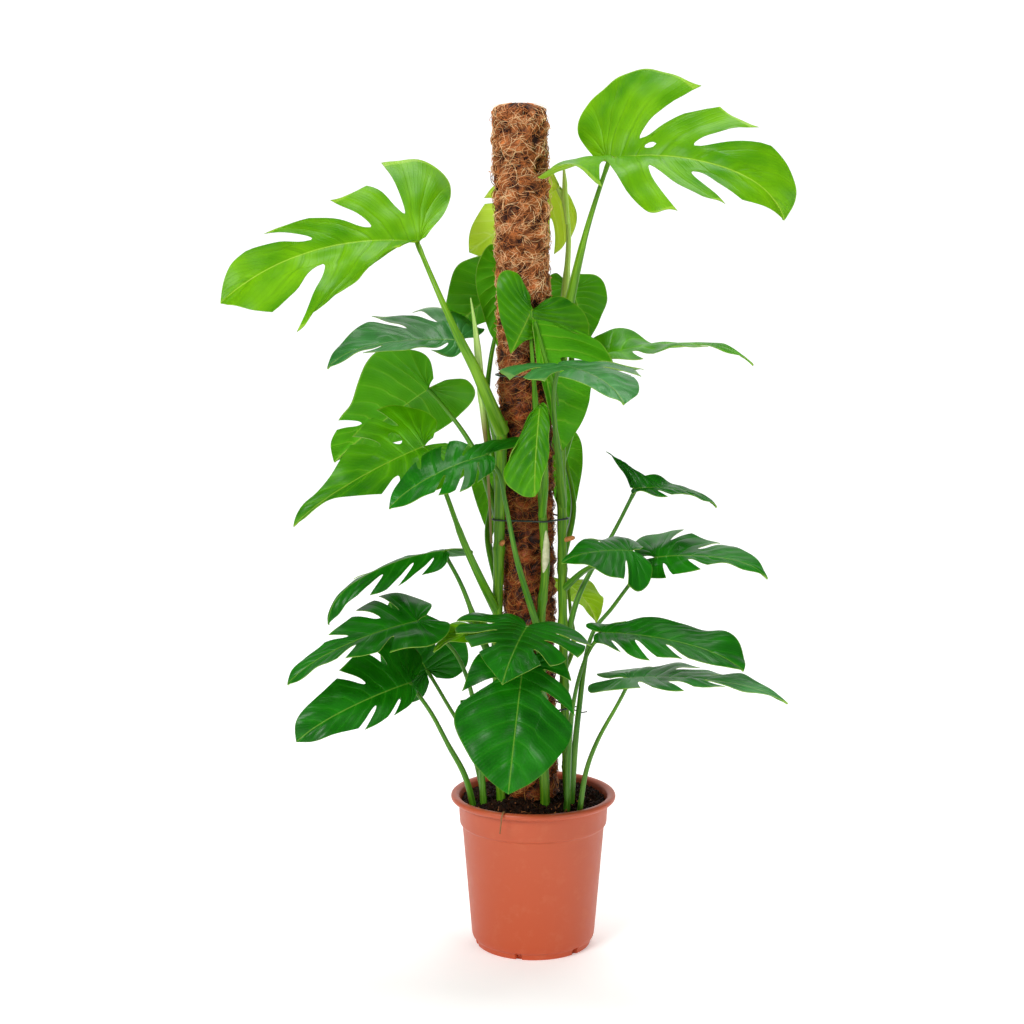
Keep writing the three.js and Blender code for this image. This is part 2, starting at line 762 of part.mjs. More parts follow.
    slits: [[0.34, 0.4, 1], [0.44, 1, 0.42], [0.5, 0.36, 1]],
    outline: ['shield', 'shield'], gap: 1.5, flare: 0.5,
    route: [[14, -48, 375], [2, -90, 415], [-6, -125, 440]],
  },
  {
    name: 'leaf_22', colour: 'darkLeaf', attach: [-10, -112, 494], tip: [-44, -216, 436],
    facing: [0, -0.55, 0.84], width: [88, 92], arc: 30, fold: [6, 6],
    slits: [[0.4, 0.45, 0.45], [0.54, 0.4, 0.4], [0.68, 0.5, 0.5]],
    route: [[12, -48, 430], [4, -78, 466], [-4, -100, 486]],
  },
  {
    name: 'leaf_23', colour: 'youngLeaf', attach: [-66, -80, 482], tip: [-140, -114, 458],
    facing: [0, -0.35, 0.93], width: [24, 36], arc: 40, slits: [[0.5, 0.5, 0.5]],
    route: [[-50, -22, 430], [-56, -46, 456], [-62, -68, 474]], stalk: [4, 2],
  },
  {
    name: 'leaf_24', colour: 'darkLeaf', attach: [143, 0, 671], tip: [258, -40, 650],
    facing: [0.1, -0.06, 1], width: [58, 30], outline: ['horned', 'slim'], arc: 30, hook: 30,
    fold: [76, -6], open: [4, 0], roll: [10, 22], slits: [[0.56, 1, 0.45]], stalk: [5, 2.6],
    route: [[46, -22, 452], [63, -18, 516], [92, -12, 573], [112, -8, 606]],
  },
  {
    name: 'leaf_25', colour: 'darkLeaf', attach: [170, -60, 582], tip: [321, -120, 562],
    facing: [0, -0.15, 1], width: [72, 34], arc: 26, hook: 34, fold: [28, -36], open: [10, -10],
    slits: [[0.42, 0.45, 0.3], [0.58, 0.45, 0.4]],
    route: [[52, -34, 190], [64, -36, 350], [84, -12, 462], [112, -12, 500], [148, -40, 555]],
    stalk: [5, 2.6],
  },
  {
    name: 'leaf_26', colour: 'darkLeaf', attach: [134, -112, 600], tip: [36, -140, 587],
    facing: [0, -0.2, 1], width: [60, 56], arc: 24, fold: [-30, 10], open: [-10, 10],
    slits: [[0.46, 0.3, 1], [0.6, 1, 0.5]],
    route: [[42, -25, 530], [72, -52, 562], [104, -88, 582]], stalk: [5, 2.6],
  },
  {
    name: 'leaf_27', colour: 'darkLeaf', attach: [92, -100, 483], tip: [284, -170, 444],
    facing: [0, -0.22, 0.97], width: [43, 64], outline: ['late', 'slim'], taper: [0, 0.15],
    arc: 24, roll: [10, 22], fold: [10, 4], open: [20, 4],
    slits: [[0.36, 0.5, 1], [0.42, 1, 0.45], [0.55, 1, 0.42], [0.68, 1, 0.45]], stalk: [5, 2.6],
    route: [[46, -66, 190], [56, -78, 379], [76, -92, 454]],
  },
  {
    name: 'leaf_28', colour: 'greyLeaf', attach: [133, -90, 416], tip: [346, -162, 397],
    facing: [0, -0.1, 1], width: [58, 42], arc: 22, hook: 16, fold: [8, 5],
    slits: [[0.42, 0.45, 0.45], [0.55, 0.42, 0.42], [0.68, 0.5, 0.45]],
    route: [[62, -74, 190], [74, -78, 277], [90, -82, 324], [118, -86, 378]], stalk: [5, 2.6],
  },
  {
    name: 'leaf_29', colour: 'youngLeaf', attach: [50, 62, 524], tip: [96, 110, 454],
    facing: [0.2, 0.4, 0.9], width: [42, 42], arc: 34,
    route: [[44, -20, 410], [58, 14, 440], [54, 48, 490]], stalk: [4, 2.4],
  },
  {
    name: 'leaf_30', attach: [-43, 46, 986], tip: [-51, 50, 868], facing: [-0.2, 0.95, 0.1],
    width: [36, 30], outline: ['broad', 'broad'], arc: 14,
    route: [[37, -10, 800], [38, 24, 828], [20, 50, 884], [-18, 48, 950]], stalk: [5, 2.6],
  },
];

/** Closed pot shell: foot ring, tapered wall, banded neck and rolled rim. */
function potBody() {
  const shell = lathe([
    [0, 0],
    [34, 0],
    [38, 3],
    [74, 3],
    [77, 0],
    [FOOT_RADIUS, 0],
    [FOOT_RADIUS + 1, 8],
    [FOOT_RADIUS + 4.5, 11],
    [FOOT_RADIUS + 6, 16],
    [POT_RIM_RADIUS - 16.5, POT_SHOULDER_Z - 3],
    [POT_RIM_RADIUS - 13, POT_SHOULDER_Z],
    [POT_RIM_RADIUS - 11, POT_HEIGHT - 10],
    [POT_RIM_RADIUS - 3, POT_HEIGHT - 9.5],
    [POT_RIM_RADIUS - 0.6, POT_HEIGHT - 7],
    [POT_RIM_RADIUS, POT_HEIGHT - 4.5],
    [POT_RIM_RADIUS - 0.8, POT_HEIGHT - 1.8],
    [POT_RIM_RADIUS - 3, POT_HEIGHT],
    [POT_RIM_RADIUS - 8, POT_HEIGHT],
    [POT_RIM_RADIUS - 12, POT_HEIGHT - 3],
    [POT_RIM_RADIUS - 11 - POT_WALL, POT_HEIGHT - 11],
    [POT_RIM_RADIUS - 13 - POT_WALL, POT_SHOULDER_Z + 1],
    [POT_RIM_RADIUS - 16.5 - POT_WALL, POT_SHOULDER_Z - 2],
    [FOOT_RADIUS + 6 - POT_WALL, 18],
    [FOOT_RADIUS + 1 - POT_WALL, POT_FLOOR],
    [0, POT_FLOOR],
  ]);
  let body = shell;
  for (let i = 0; i < FOOT_NOTCHES; i += 1) {
    const turn = (2 * Math.PI * (i + 0.25)) / FOOT_NOTCHES;
    body = body.subtract(notchAt(turn));
  }
  return body;
}

/** Drain notch: a short lying round bar through the corner of the foot. */
function notchAt(turn) {
  const reach = (radius, z) => [radius * Math.cos(turn), radius * Math.sin(turn), z];
  return tube([reach(70, 7), reach(82, 7), reach(100, 7)], () => 4.2, 2, 8);
}

/** Inner radius of the filled pot at a height, less the clearance. */
const SOIL_PROFILE = [
  [FOOT_RADIUS + 1 - POT_WALL - SOIL_SLACK, POT_FLOOR + CLEARANCE],
  [FOOT_RADIUS + 6 - POT_WALL - SOIL_SLACK, 18],
  [POT_RIM_RADIUS - 16.5 - POT_WALL - SOIL_SLACK, POT_SHOULDER_Z - 2],
  [POT_RIM_RADIUS - 13 - POT_WALL - SOIL_SLACK, POT_SHOULDER_Z + 1.6],
];
const SOIL_RADIUS = POT_RIM_RADIUS - 11.4 - POT_WALL - SOIL_SLACK;

/** Height of the soil surface: a low mound with gentle lumps. */
function soilHeight(radius, turn) {
  const share = radius / SOIL_RADIUS;
  const lumps = 1.8 * Math.sin(3 * turn + 1) * share + 1.2 * Math.sin(7 * turn + 6 * share);
  return SOIL_EDGE_Z + SOIL_MOUND * (1 - share * share) + lumps * (1 - share ** 6);
}

/** Soil filling the pot. */
function soilBody() {
  const rings = SOIL_PROFILE.map(([radius, z]) => circle(radius, () => z));
  for (let i = SOIL_RINGS; i > 0; i -= 1) {
    const radius = (SOIL_RADIUS * i) / SOIL_RINGS;
    rings.push(circle(radius, (turn) => soilHeight(radius, turn)));
  }
  return skin(rings, [0, 0, POT_FLOOR + CLEARANCE], [0, 0, soilHeight(0, 0)]);
}

/** Ring of points of one radius, its height a function of the turn. */
function circle(radius, heightAt) {
  const ring = [];
  for (let i = 0; i < SOIL_SEGMENTS; i += 1) {
    const turn = (2 * Math.PI * i) / SOIL_SEGMENTS;
    ring.push([radius * Math.cos(turn), radius * Math.sin(turn), heightAt(turn)]);
  }
  return ring;
}

/** Sideways place of the leaning pole axis at a height. */
function poleX(z) {
  return -2 - POLE_LEAN * Math.max(0, (z - 235) / (POLE_TOP - 235)) ** 1.1;
}

/** Radius of the bare pole at a height. */
function poleRadius(z) {
  return POLE_RADIUS_FOOT + ((POLE_RADIUS_TOP - POLE_RADIUS_FOOT) * z) / POLE_TOP;
}

/** Coir pole: a wrapped, slightly lumpy column with a rounded top. */
function poleBody() {
  const rings = [];
  const ringAt = (z, shrink) => {
    const ring = [];
    for (let k = 0; k < POLE_SIDES; k += 1) {
      const turn = (2 * Math.PI * k) / POLE_SIDES;
      const lumps = 0.9 * Math.sin(5 * turn + z / 23) + 0.7 * Math.sin(3 * turn - z / 37);
      const radius = (poleRadius(z) + lumps) * shrink;
      ring.push([poleX(z) + radius * Math.cos(turn), radius * Math.sin(turn), z]);
    }
    return ring;
  };
  const shoulder = POLE_TOP - 14;
  for (let i = 0; i <= POLE_RINGS; i += 1) {
    rings.push(ringAt(POLE_FOOT + ((shoulder - POLE_FOOT) * i) / POLE_RINGS, 1));
  }
  for (const [rise, shrink] of [[8, 0.95], [12, 0.8], [14, 0.5]]) {
    rings.push(ringAt(shoulder + rise, shrink));
  }
  return skin(rings, [poleX(POLE_FOOT), 0, POLE_FOOT], [poleX(POLE_TOP), 0, POLE_TOP + 0.5]);
}

/** Plain round hole for the pole, through the soil. */
function poleHole() {
  return tube(
    [[-2, 0, POLE_FOOT - CLEARANCE], [-2, 0, 150], [-2, 0, POT_HEIGHT + 40]],
    () => POLE_RADIUS_FOOT + 2.4,
    2,
    2 * POLE_SIDES,
  );
}

// Ties: height and the stems held to the pole
const TIES = {
  tie_upper: { z: 834, held: ['stem_right'] },
  tie_middle: { z: 632, held: ['stem_left', 'stem_centre', 'stem_right'] },
  tie_lower: { z: 357, held: ['stem_centre', 'stem_right'] },
};

/** Wire loop pulled round the pole and the stems it holds. */
function tieBody({ z, held }) {
  const gap = 0.9 + TIE_RADIUS;
  const discs = [{ x: poleX(z), y: 0, radius: poleRadius(z) + 1.7 + gap }];
  for (const name of held) {
    const { route, radius } = STEMS[name];
    const curve = curveOf(route);
    let share = 0;
    while (share < 1 && curve.getPointAt(share).z < z) {
      share += 0.01;
    }
    const centre = curve.getPointAt(Math.min(1, share));
    discs.push({ x: centre.x, y: centre.y, radius: radius[0] + (radius[1] - radius[0]) * share + gap });
  }
  const rings = [];
  for (let i = 0; i < TIE_STEPS; i += 1) {
    const turn = (2 * Math.PI * i) / TIE_STEPS;
    const [ux, uy] = [Math.cos(turn), Math.sin(turn)];
    const reach = ({ x, y, radius }) => x * ux + y * uy + radius;
    const disc = discs.reduce((best, next) => (reach(next) > reach(best) ? next : best));
    const ring = [];
    for (let k = 0; k < TIE_SIDES; k += 1) {
      const side = (2 * Math.PI * k) / TIE_SIDES;
      const out = disc.radius + TIE_RADIUS * Math.cos(side);
      ring.push([disc.x + ux * out, disc.y + uy * out, z + TIE_RADIUS * Math.sin(side)]);
    }
    rings.push(ring);
  }
  return loopSkin(rings);
}

/** Solid skinned over rings that close on themselves. */
function loopSkin(rings) {
  const count = rings[0].length;
  const triangles = [];
  rings.forEach((ring, r) => {
    const next = ((r + 1) % rings.length) * count;
    ring.forEach((point, i) => {
      const j = (i + 1) % count;
      triangles.push([r * count + i, next + i, next + j], [r * count + i, next + j, r * count + j]);
    });
  });
  return solid(rings.flat(), triangles);
}

// Rolled young leaves: route and radii from foot to point
const BUDS = {
  new_leaf_left: {
    route: [
      [-60, -34, 598],
      [-66, -45, 723],
      [-70, -50, 769],
      [-78, -60, 870],
      [-82, -60, 905],
      [-88, -60, 944],
    ],
    radii: [1.8, 2, 2.4, 5.5, 5, 0.8],
  },
  new_leaf_top: {
    route: [[48, 56, 1045], [45, 60, 1078], [44, 61, 1105], [42, 62, 1134]],
    radii: [3, 5, 3.4, 0.6],
  },
};

/** Slender rolled leaf on its stalk. */
function budOf({ route, radii }) {
  const radiusAt = (share) => {
    const place = Math.min(share, 0.9999) * (radii.length - 1);
    const i = Math.floor(place);
    return radii[i] + (radii[i + 1] - radii[i]) * (place - i);
  };
  return tube(route, radiusAt, 2 * radii.length, PETIOLE_SIDES);
}

const group = new THREE.Group();
group.name = 'potted_swiss_cheese_plant';

const stems = Object.entries(STEMS).map(([name, stem]) => ({ name, body: stemOf(stem) }));
const stemCutter = Object.values(STEMS).map((stem) => stemOf(stem, CLEARANCE)).reduce((a, b) => a.add(b));

const leaves = LEAVES.map((own) => {
  const leaf = { ...MATURE, ...own };
  const bud = leaf.bud ? [budOf(BUDS[leaf.bud])] : [];
  const whole = [petioleOf(leaf), ...bud].reduce((sum, piece) => sum.add(piece), bladeOf(leaf));
  return { leaf, body: mainBody(whole.subtract(stemCutter)) };
});

let soil = soilBody().subtract(poleHole()).subtract(stemCutter);
for (const { leaf } of leaves) {
  if (leaf.route[0][2] < SOIL_EDGE_Z) {
    const foot = leaf.route[0];
    const top = leaf.route[1];
    soil = soil.subtract(tube([foot, top], () => leaf.stalk[0] + 1.2, 1, 8));
  }
}

group.add(meshOf('pot', potBody(), COLOUR.pot, 0.5));
group.add(meshOf('soil', mainBody(soil), COLOUR.soil, 0.95));
group.add(meshOf('coir_pole', poleBody(), COLOUR.coir, 0.95));
for (const { name, body } of stems) {
  group.add(meshOf(name, body, COLOUR.stem, 0.5));
}
for (const [name, tie] of Object.entries(TIES)) {
  group.add(meshOf(name, tieBody(tie), COLOUR.tie, 0.5));
}
group.add(meshOf('new_leaf_left', budOf(BUDS.new_leaf_left), COLOUR.bud, 0.5));
for (const { leaf, body } of leaves) {
  group.add(meshOf(leaf.name, body, COLOUR[leaf.colour], 0.42));
}

export default group;
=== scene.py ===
"""Looks of a potted swiss cheese plant on a coir pole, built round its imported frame.

Sizes are in millimetres and angles in degrees until a surface is put into its mesh, which is in metres.
The plant is seen from the front when looked at along +Y.
"""

import logging
import math
from dataclasses import dataclass, field
from enum import Enum

import bpy
import numpy as np
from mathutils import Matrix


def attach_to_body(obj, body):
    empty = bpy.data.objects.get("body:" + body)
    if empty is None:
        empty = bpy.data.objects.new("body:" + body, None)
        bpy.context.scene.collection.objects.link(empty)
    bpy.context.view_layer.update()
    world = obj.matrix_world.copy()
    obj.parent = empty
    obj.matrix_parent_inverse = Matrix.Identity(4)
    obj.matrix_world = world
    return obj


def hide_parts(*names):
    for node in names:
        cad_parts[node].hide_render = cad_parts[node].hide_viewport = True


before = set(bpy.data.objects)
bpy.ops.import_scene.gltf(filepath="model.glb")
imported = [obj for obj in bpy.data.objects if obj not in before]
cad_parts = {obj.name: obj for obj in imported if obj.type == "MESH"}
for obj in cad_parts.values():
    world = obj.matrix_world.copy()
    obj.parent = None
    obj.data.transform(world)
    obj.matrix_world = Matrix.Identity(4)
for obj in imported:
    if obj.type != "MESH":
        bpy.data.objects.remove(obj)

LOG = logging.getLogger("plant")
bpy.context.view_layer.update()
MM = 0.001
DEG = math.pi / 180
SEED = 7

Array = np.ndarray
Material = bpy.types.Material
Piece = bpy.types.Object
Socket = bpy.types.NodeSocket
Point = tuple[float, float, float]
Pair = tuple[float, float]


# Surfaces


@dataclass
class Surface:
    """A closed triangle surface in millimetres, with what its finishes read.

    uv holds a pair for each corner of each triangle, finish the number of each triangle's material,
    and marks a value for each point under the name that a material reads it by.
    """

    points: Array
    triangles: Array
    uv: Array
    finish: Array
    marks: dict[str, Array] = field(default_factory=dict)


def joined(parts: list[Surface]) -> Surface:
    """Puts several surfaces into one.

    Args:
        parts: The surfaces, which keep their own finish numbers.

    Returns:
        One surface; a mark that a part lacks is 0 on that part.
    """
    starts = np.cumsum([0] + [len(part.points) for part in parts[:-1]])
    names = sorted({name for part in parts for name in part.marks})
    return Surface(
        points=np.concatenate([part.points for part in parts]),
        triangles=np.concatenate([part.triangles + start for part, start in zip(parts, starts)]),
        uv=np.concatenate([part.uv for part in parts]),
        finish=np.concatenate([part.finish for part in parts]),
        marks={
            name: np.concatenate([part.marks.get(name, np.zeros(len(part.points))) for part in parts])
            for name in names
        },
    )


def put(
    name: str,
    surface: Surface,
    finishes: list[Material],
    stands_for: tuple[str, ...] = (),
    crease: float = 45,
) -> Piece:
    """Puts a surface into the scene as one piece of the plant.

    Args:
        name: Name of the piece.
        surface: Its shape.
        finishes: Its materials, in the order of the surface's finish numbers.
        stands_for: Solids of the frame that it replaces.
        crease: Edges sharper than this stay sharp.

    Returns:
        The new object, at the origin.
    """
    count = len(surface.triangles)
    mesh = bpy.data.meshes.new(name)
    mesh.vertices.add(len(surface.points))
    mesh.vertices.foreach_set("co", (surface.points * MM).astype(np.float32).ravel())
    mesh.loops.add(3 * count)
    mesh.loops.foreach_set("vertex_index", surface.triangles.astype(np.int32).ravel())
    mesh.polygons.add(count)
    mesh.polygons.foreach_set("loop_start", np.arange(0, 3 * count, 3, dtype=np.int32))
    mesh.polygons.foreach_set("material_index", surface.finish.astype(np.int32))
    mesh.polygons.foreach_set("use_smooth", np.ones(count, dtype=bool))
    mesh.uv_layers.new(name="surface").uv.foreach_set("vector", surface.uv.astype(np.float32).ravel())
    for mark, values in surface.marks.items():
        mesh.attributes.new(mark, "FLOAT", "POINT").data.foreach_set("value", values.astype(np.float32))
    mesh.update(calc_edges=True)
    mesh.set_sharp_from_angle(angle=crease * DEG)
    for finish in finishes:
        mesh.materials.append(finish)
    piece = bpy.data.objects.new(name, mesh)
    bpy.context.scene.collection.objects.link(piece)
    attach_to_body(piece, "root")
    if stands_for:
        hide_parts(*stands_for)
    return piece


def unit(vectors: Array) -> Array:
    """Vectors divided by their lengths along the last axis."""
    return vectors / np.maximum(np.linalg.norm(vectors, axis=-1, keepdims=True), 1e-9)


def ease(x: Array | float) -> Array:
    """Smooth step: 3x² - 2x³ with x held between 0 and 1."""
    held = np.clip(x, 0, 1)
    return held * held * (3 - 2 * held)


def polar(turn: Array, radius: Array | float, height: Array | float) -> Array:
    """Points radius · cos turn, radius · sin turn, height."""
    return np.stack(np.broadcast_arrays(radius * np.cos(turn), radius * np.sin(turn), height), axis=-1)


def travel(path: Array) -> Array:
    """Way travelled along a path, at each of its points."""
    return np.cumsum(np.linalg.norm(np.diff(path, axis=0, prepend=path[:1]), axis=1))


def wrapped(rows: int, sides: int) -> Array:
    """Triangles of a grid of rows by sides points that wraps in its second direction."""
    index = np.arange(rows * sides).reshape(rows, sides)
    onward = np.roll(index, -1, axis=1)
    quads = np.stack([index[:-1], onward[:-1], onward[1:], index[1:]], axis=-1).reshape(-1, 4)
    return np.concatenate([quads[:, [0, 1, 2]], quads[:, [0, 2, 3]]])


def ringed(rings: Array, uv: Array, finish: int = 0) -> Surface:
    """Skins closed rings one after the other and closes both ends with a fan.

    The grid wraps in its second direction; the points of a ring run anticlockwise about the way from
    the first ring to the last.

    Args:
        rings: Points, rings by points of a ring by 3.
        uv: Rings by points of a ring plus one by 2, so that the seam has both its values.
        finish: Material number.

    Returns:
        The closed surface.
    """
    steps, sides = rings.shape[:2]
    ring, onward, last = np.arange(sides), np.roll(np.arange(sides), -1), (steps - 1) * sides
    corner = np.stack([uv[:-1, :-1], uv[:-1, 1:], uv[1:, 1:], uv[1:, :-1]], axis=2).reshape(-1, 4, 2)
    start = np.stack([np.full(sides, steps * sides), onward, ring], axis=-1)
    end = np.stack([np.full(sides, steps * sides + 1), last + ring, last + onward], axis=-1)
    triangles = np.concatenate([wrapped(steps, sides), start, end])
    pairs = np.concatenate([
        corner[:, [0, 1, 2]],
        corner[:, [0, 2, 3]],
        np.stack([uv[0, :-1], uv[0, 1:], uv[0, :-1]], axis=1),
        np.stack([uv[-1, :-1], uv[-1, :-1], uv[-1, 1:]], axis=1),
    ])
    points = np.concatenate([rings.reshape(-1, 3), rings[:1].mean(axis=1), rings[-1:].mean(axis=1)])
    return Surface(points, triangles, pairs, np.full(len(triangles), finish))


def bare(points: Array, triangles: Array, **marks: Array) -> Surface:
    """Surface in finish 0 whose materials read no uv."""
    count = len(triangles)
    return Surface(points, triangles, np.zeros((count, 3, 2)), np.zeros(count, dtype=int), dict(marks))


def repeated(points: Array, pattern: Array, count: int, tone: Array) -> Surface:
    """Surface of many shapes that have the same triangles.

    Args:
        points: Points of all the shapes, one shape after the other.
        pattern: Triangles of the first shape.
        count: Number of shapes.
        tone: The mark "tone" of each point.

    Returns:
        The surface.
    """
    starts = len(points) // count * np.arange(count)[:, None, None]
    return bare(points, (pattern[None] + starts).reshape(-1, 3), tone=tone)


SPAN_CUTS = 40


def curved(points: tuple[Point, ...] | Array, steps: int) -> Array:
    """Even steps along a centripetal Catmull-Rom curve.

    Each span is the cubic c0 + c1 u + c2 u² + c3 u³ whose end slopes come from the neighbours at
    distances to the power 1/2; the curve is then cut into steps of equal length.

    Args:
        points: The points that it passes through.
        steps: Number of steps.

    Returns:
        steps + 1 points.
    """
    given = np.asarray(points, dtype=float)
    whole = np.vstack([2 * given[0] - given[1], given, 2 * given[-1] - given[-2]])
    before, here, there, after = whole[:-3], whole[1:-2], whole[2:-1], whole[3:]
    gaps = np.sqrt(np.linalg.norm(np.diff(whole, axis=0), axis=1))[:, None]
    near, span, far = gaps[:-2], gaps[1:-1], gaps[2:]
    leave = span * ((here - before) / near - (there - before) / (near + span) + (there - here) / span)
    arrive = span * ((there - here) / span - (after - here) / (span + far) + (after - there) / far)
    u = np.linspace(0, 1, SPAN_CUTS, endpoint=False)[None, :, None]
    cubic = here[:, None] + leave[:, None] * u
    cubic = cubic + (3 * (there - here) - 2 * leave - arrive)[:, None] * u**2
    cubic = cubic + (2 * (here - there) + leave + arrive)[:, None] * u**3
    dense = np.vstack([cubic.reshape(-1, 3), given[-1:]])
    travelled = travel(dense)
    wanted = np.linspace(0, travelled[-1], steps + 1)
    return np.stack([np.interp(wanted, travelled, dense[:, axis]) for axis in range(3)], axis=1)


def tube(path: Array, radius: Array, sides: int, finish: int = 0) -> Surface:
    """Tube along a path: centre + radius (cos a · across + sin a · beside).

    across is the direction that the path turns out of least, made square to the path everywhere, and
    beside is square to both. uv is the turn from 0 to 1 and the way travelled in millimetres.

    Args:
        path: Centres, n by 3.
        radius: Radii, n, or n by sides for a section that isn't round.
        sides: Points of a ring.
        finish: Material number.

    Returns:
        The closed tube, with its share of the way in the mark "share".
    """
    along = unit(np.gradient(path, axis=0))
    steady = np.linalg.svd(along, full_matrices=False)[2][-1]
    across = unit(steady - along * (along @ steady)[:, None])
    beside = np.cross(along, across)
    turn = 2 * np.pi * np.arange(sides) / sides
    reach = np.broadcast_to(radius if radius.ndim == 2 else radius[:, None], (len(path), sides))[..., None]
    rings = path[:, None] + reach * (
        np.cos(turn)[:, None] * across[:, None] + np.sin(turn)[:, None] * beside[:, None]
    )
    travelled = travel(path)
    uv = np.stack(np.meshgrid(np.linspace(0, 1, sides + 1), travelled), axis=-1)
    surface = ringed(rings, uv, finish)
    share = np.repeat(travelled / travelled[-1], sides)
    surface.marks["share"] = np.concatenate([share, [0, 1]])
    return surface


def waves(rng: np.random.Generator, points: Array, lengths: Pair, count: int) -> Array:
    """Soft random relief between about -1 and 1: a mean of sines that run in random directions.

    Args:
        rng: Seeded draw.
        points: Points in millimetres, their coordinates along the last axis.
        lengths: Shortest and longest wave in millimetres.
        count: Number of sines.

    Returns:
        Relief of each point.
    """
    total = np.zeros(points.shape[:-1])
    for _ in range(count):
        pace = unit(rng.normal(size=points.shape[-1])) * 2 * np.pi / rng.uniform(*lengths)
        total += np.sin(points @ pace + rng.uniform(0, 2 * np.pi))
    return total * math.sqrt(2 / count)


# Finishes


def linear(colour: str) -> tuple[float, float, float, float]:
    """Linear colour of an sRGB hex value such as "#2a6a22"."""
    parts = [int(colour[i : i + 2], 16) / 255 for i in (1, 3, 5)]
    return (*[v / 12.92 if v <= 0.04045 else ((v + 0.055) / 1.055) ** 2.4 for v in parts], 1.0)


def per_metre(size: float) -> float:
    """Scale of a pattern whose lumps are this many millimetres wide, on coordinates in metres."""
    return 1 / (size * MM)


MIX_A, MIX_B, MIX_RESULT = 6, 7, 2


class Graph:
    """Node tree of one new material."""

    def __init__(self, name: str) -> None:
        """Starts the material with an empty tree."""
        self.material = bpy.data.materials.new(name)
        self.material.use_nodes = True
        self.tree = self.material.node_tree
        self.tree.nodes.clear()

    def add(
        self,
        kind: str,
        inputs: tuple[object, ...] | dict[str | int, object],
        out: str | int = 0,
        **settings: object,
    ) -> Socket:
        """Adds one node.

        Args:
            kind: Node type, without the word that all types of shader node begin with.
            inputs: Sockets to link and values to set, in the order of the inputs or by their names.
            out: The wanted output.
            **settings: Other settings of the node.

        Returns:
            The output socket.
        """
        node = self.tree.nodes.new("ShaderNode" + kind)
        for key, value in settings.items():
            setattr(node, key, value)
        for key, value in inputs.items() if isinstance(inputs, dict) else enumerate(inputs):
            if isinstance(value, Socket):
                self.tree.links.new(value, node.inputs[key])
            else:
                node.inputs[key].default_value = value
        return node.outputs[out]

    def done(self, shader: Socket) -> Material:
        """Links the shader to the material's output and returns the material."""
        self.tree.links.new(shader, self.tree.nodes.new("ShaderNodeOutputMaterial").inputs[0])
        return self.material


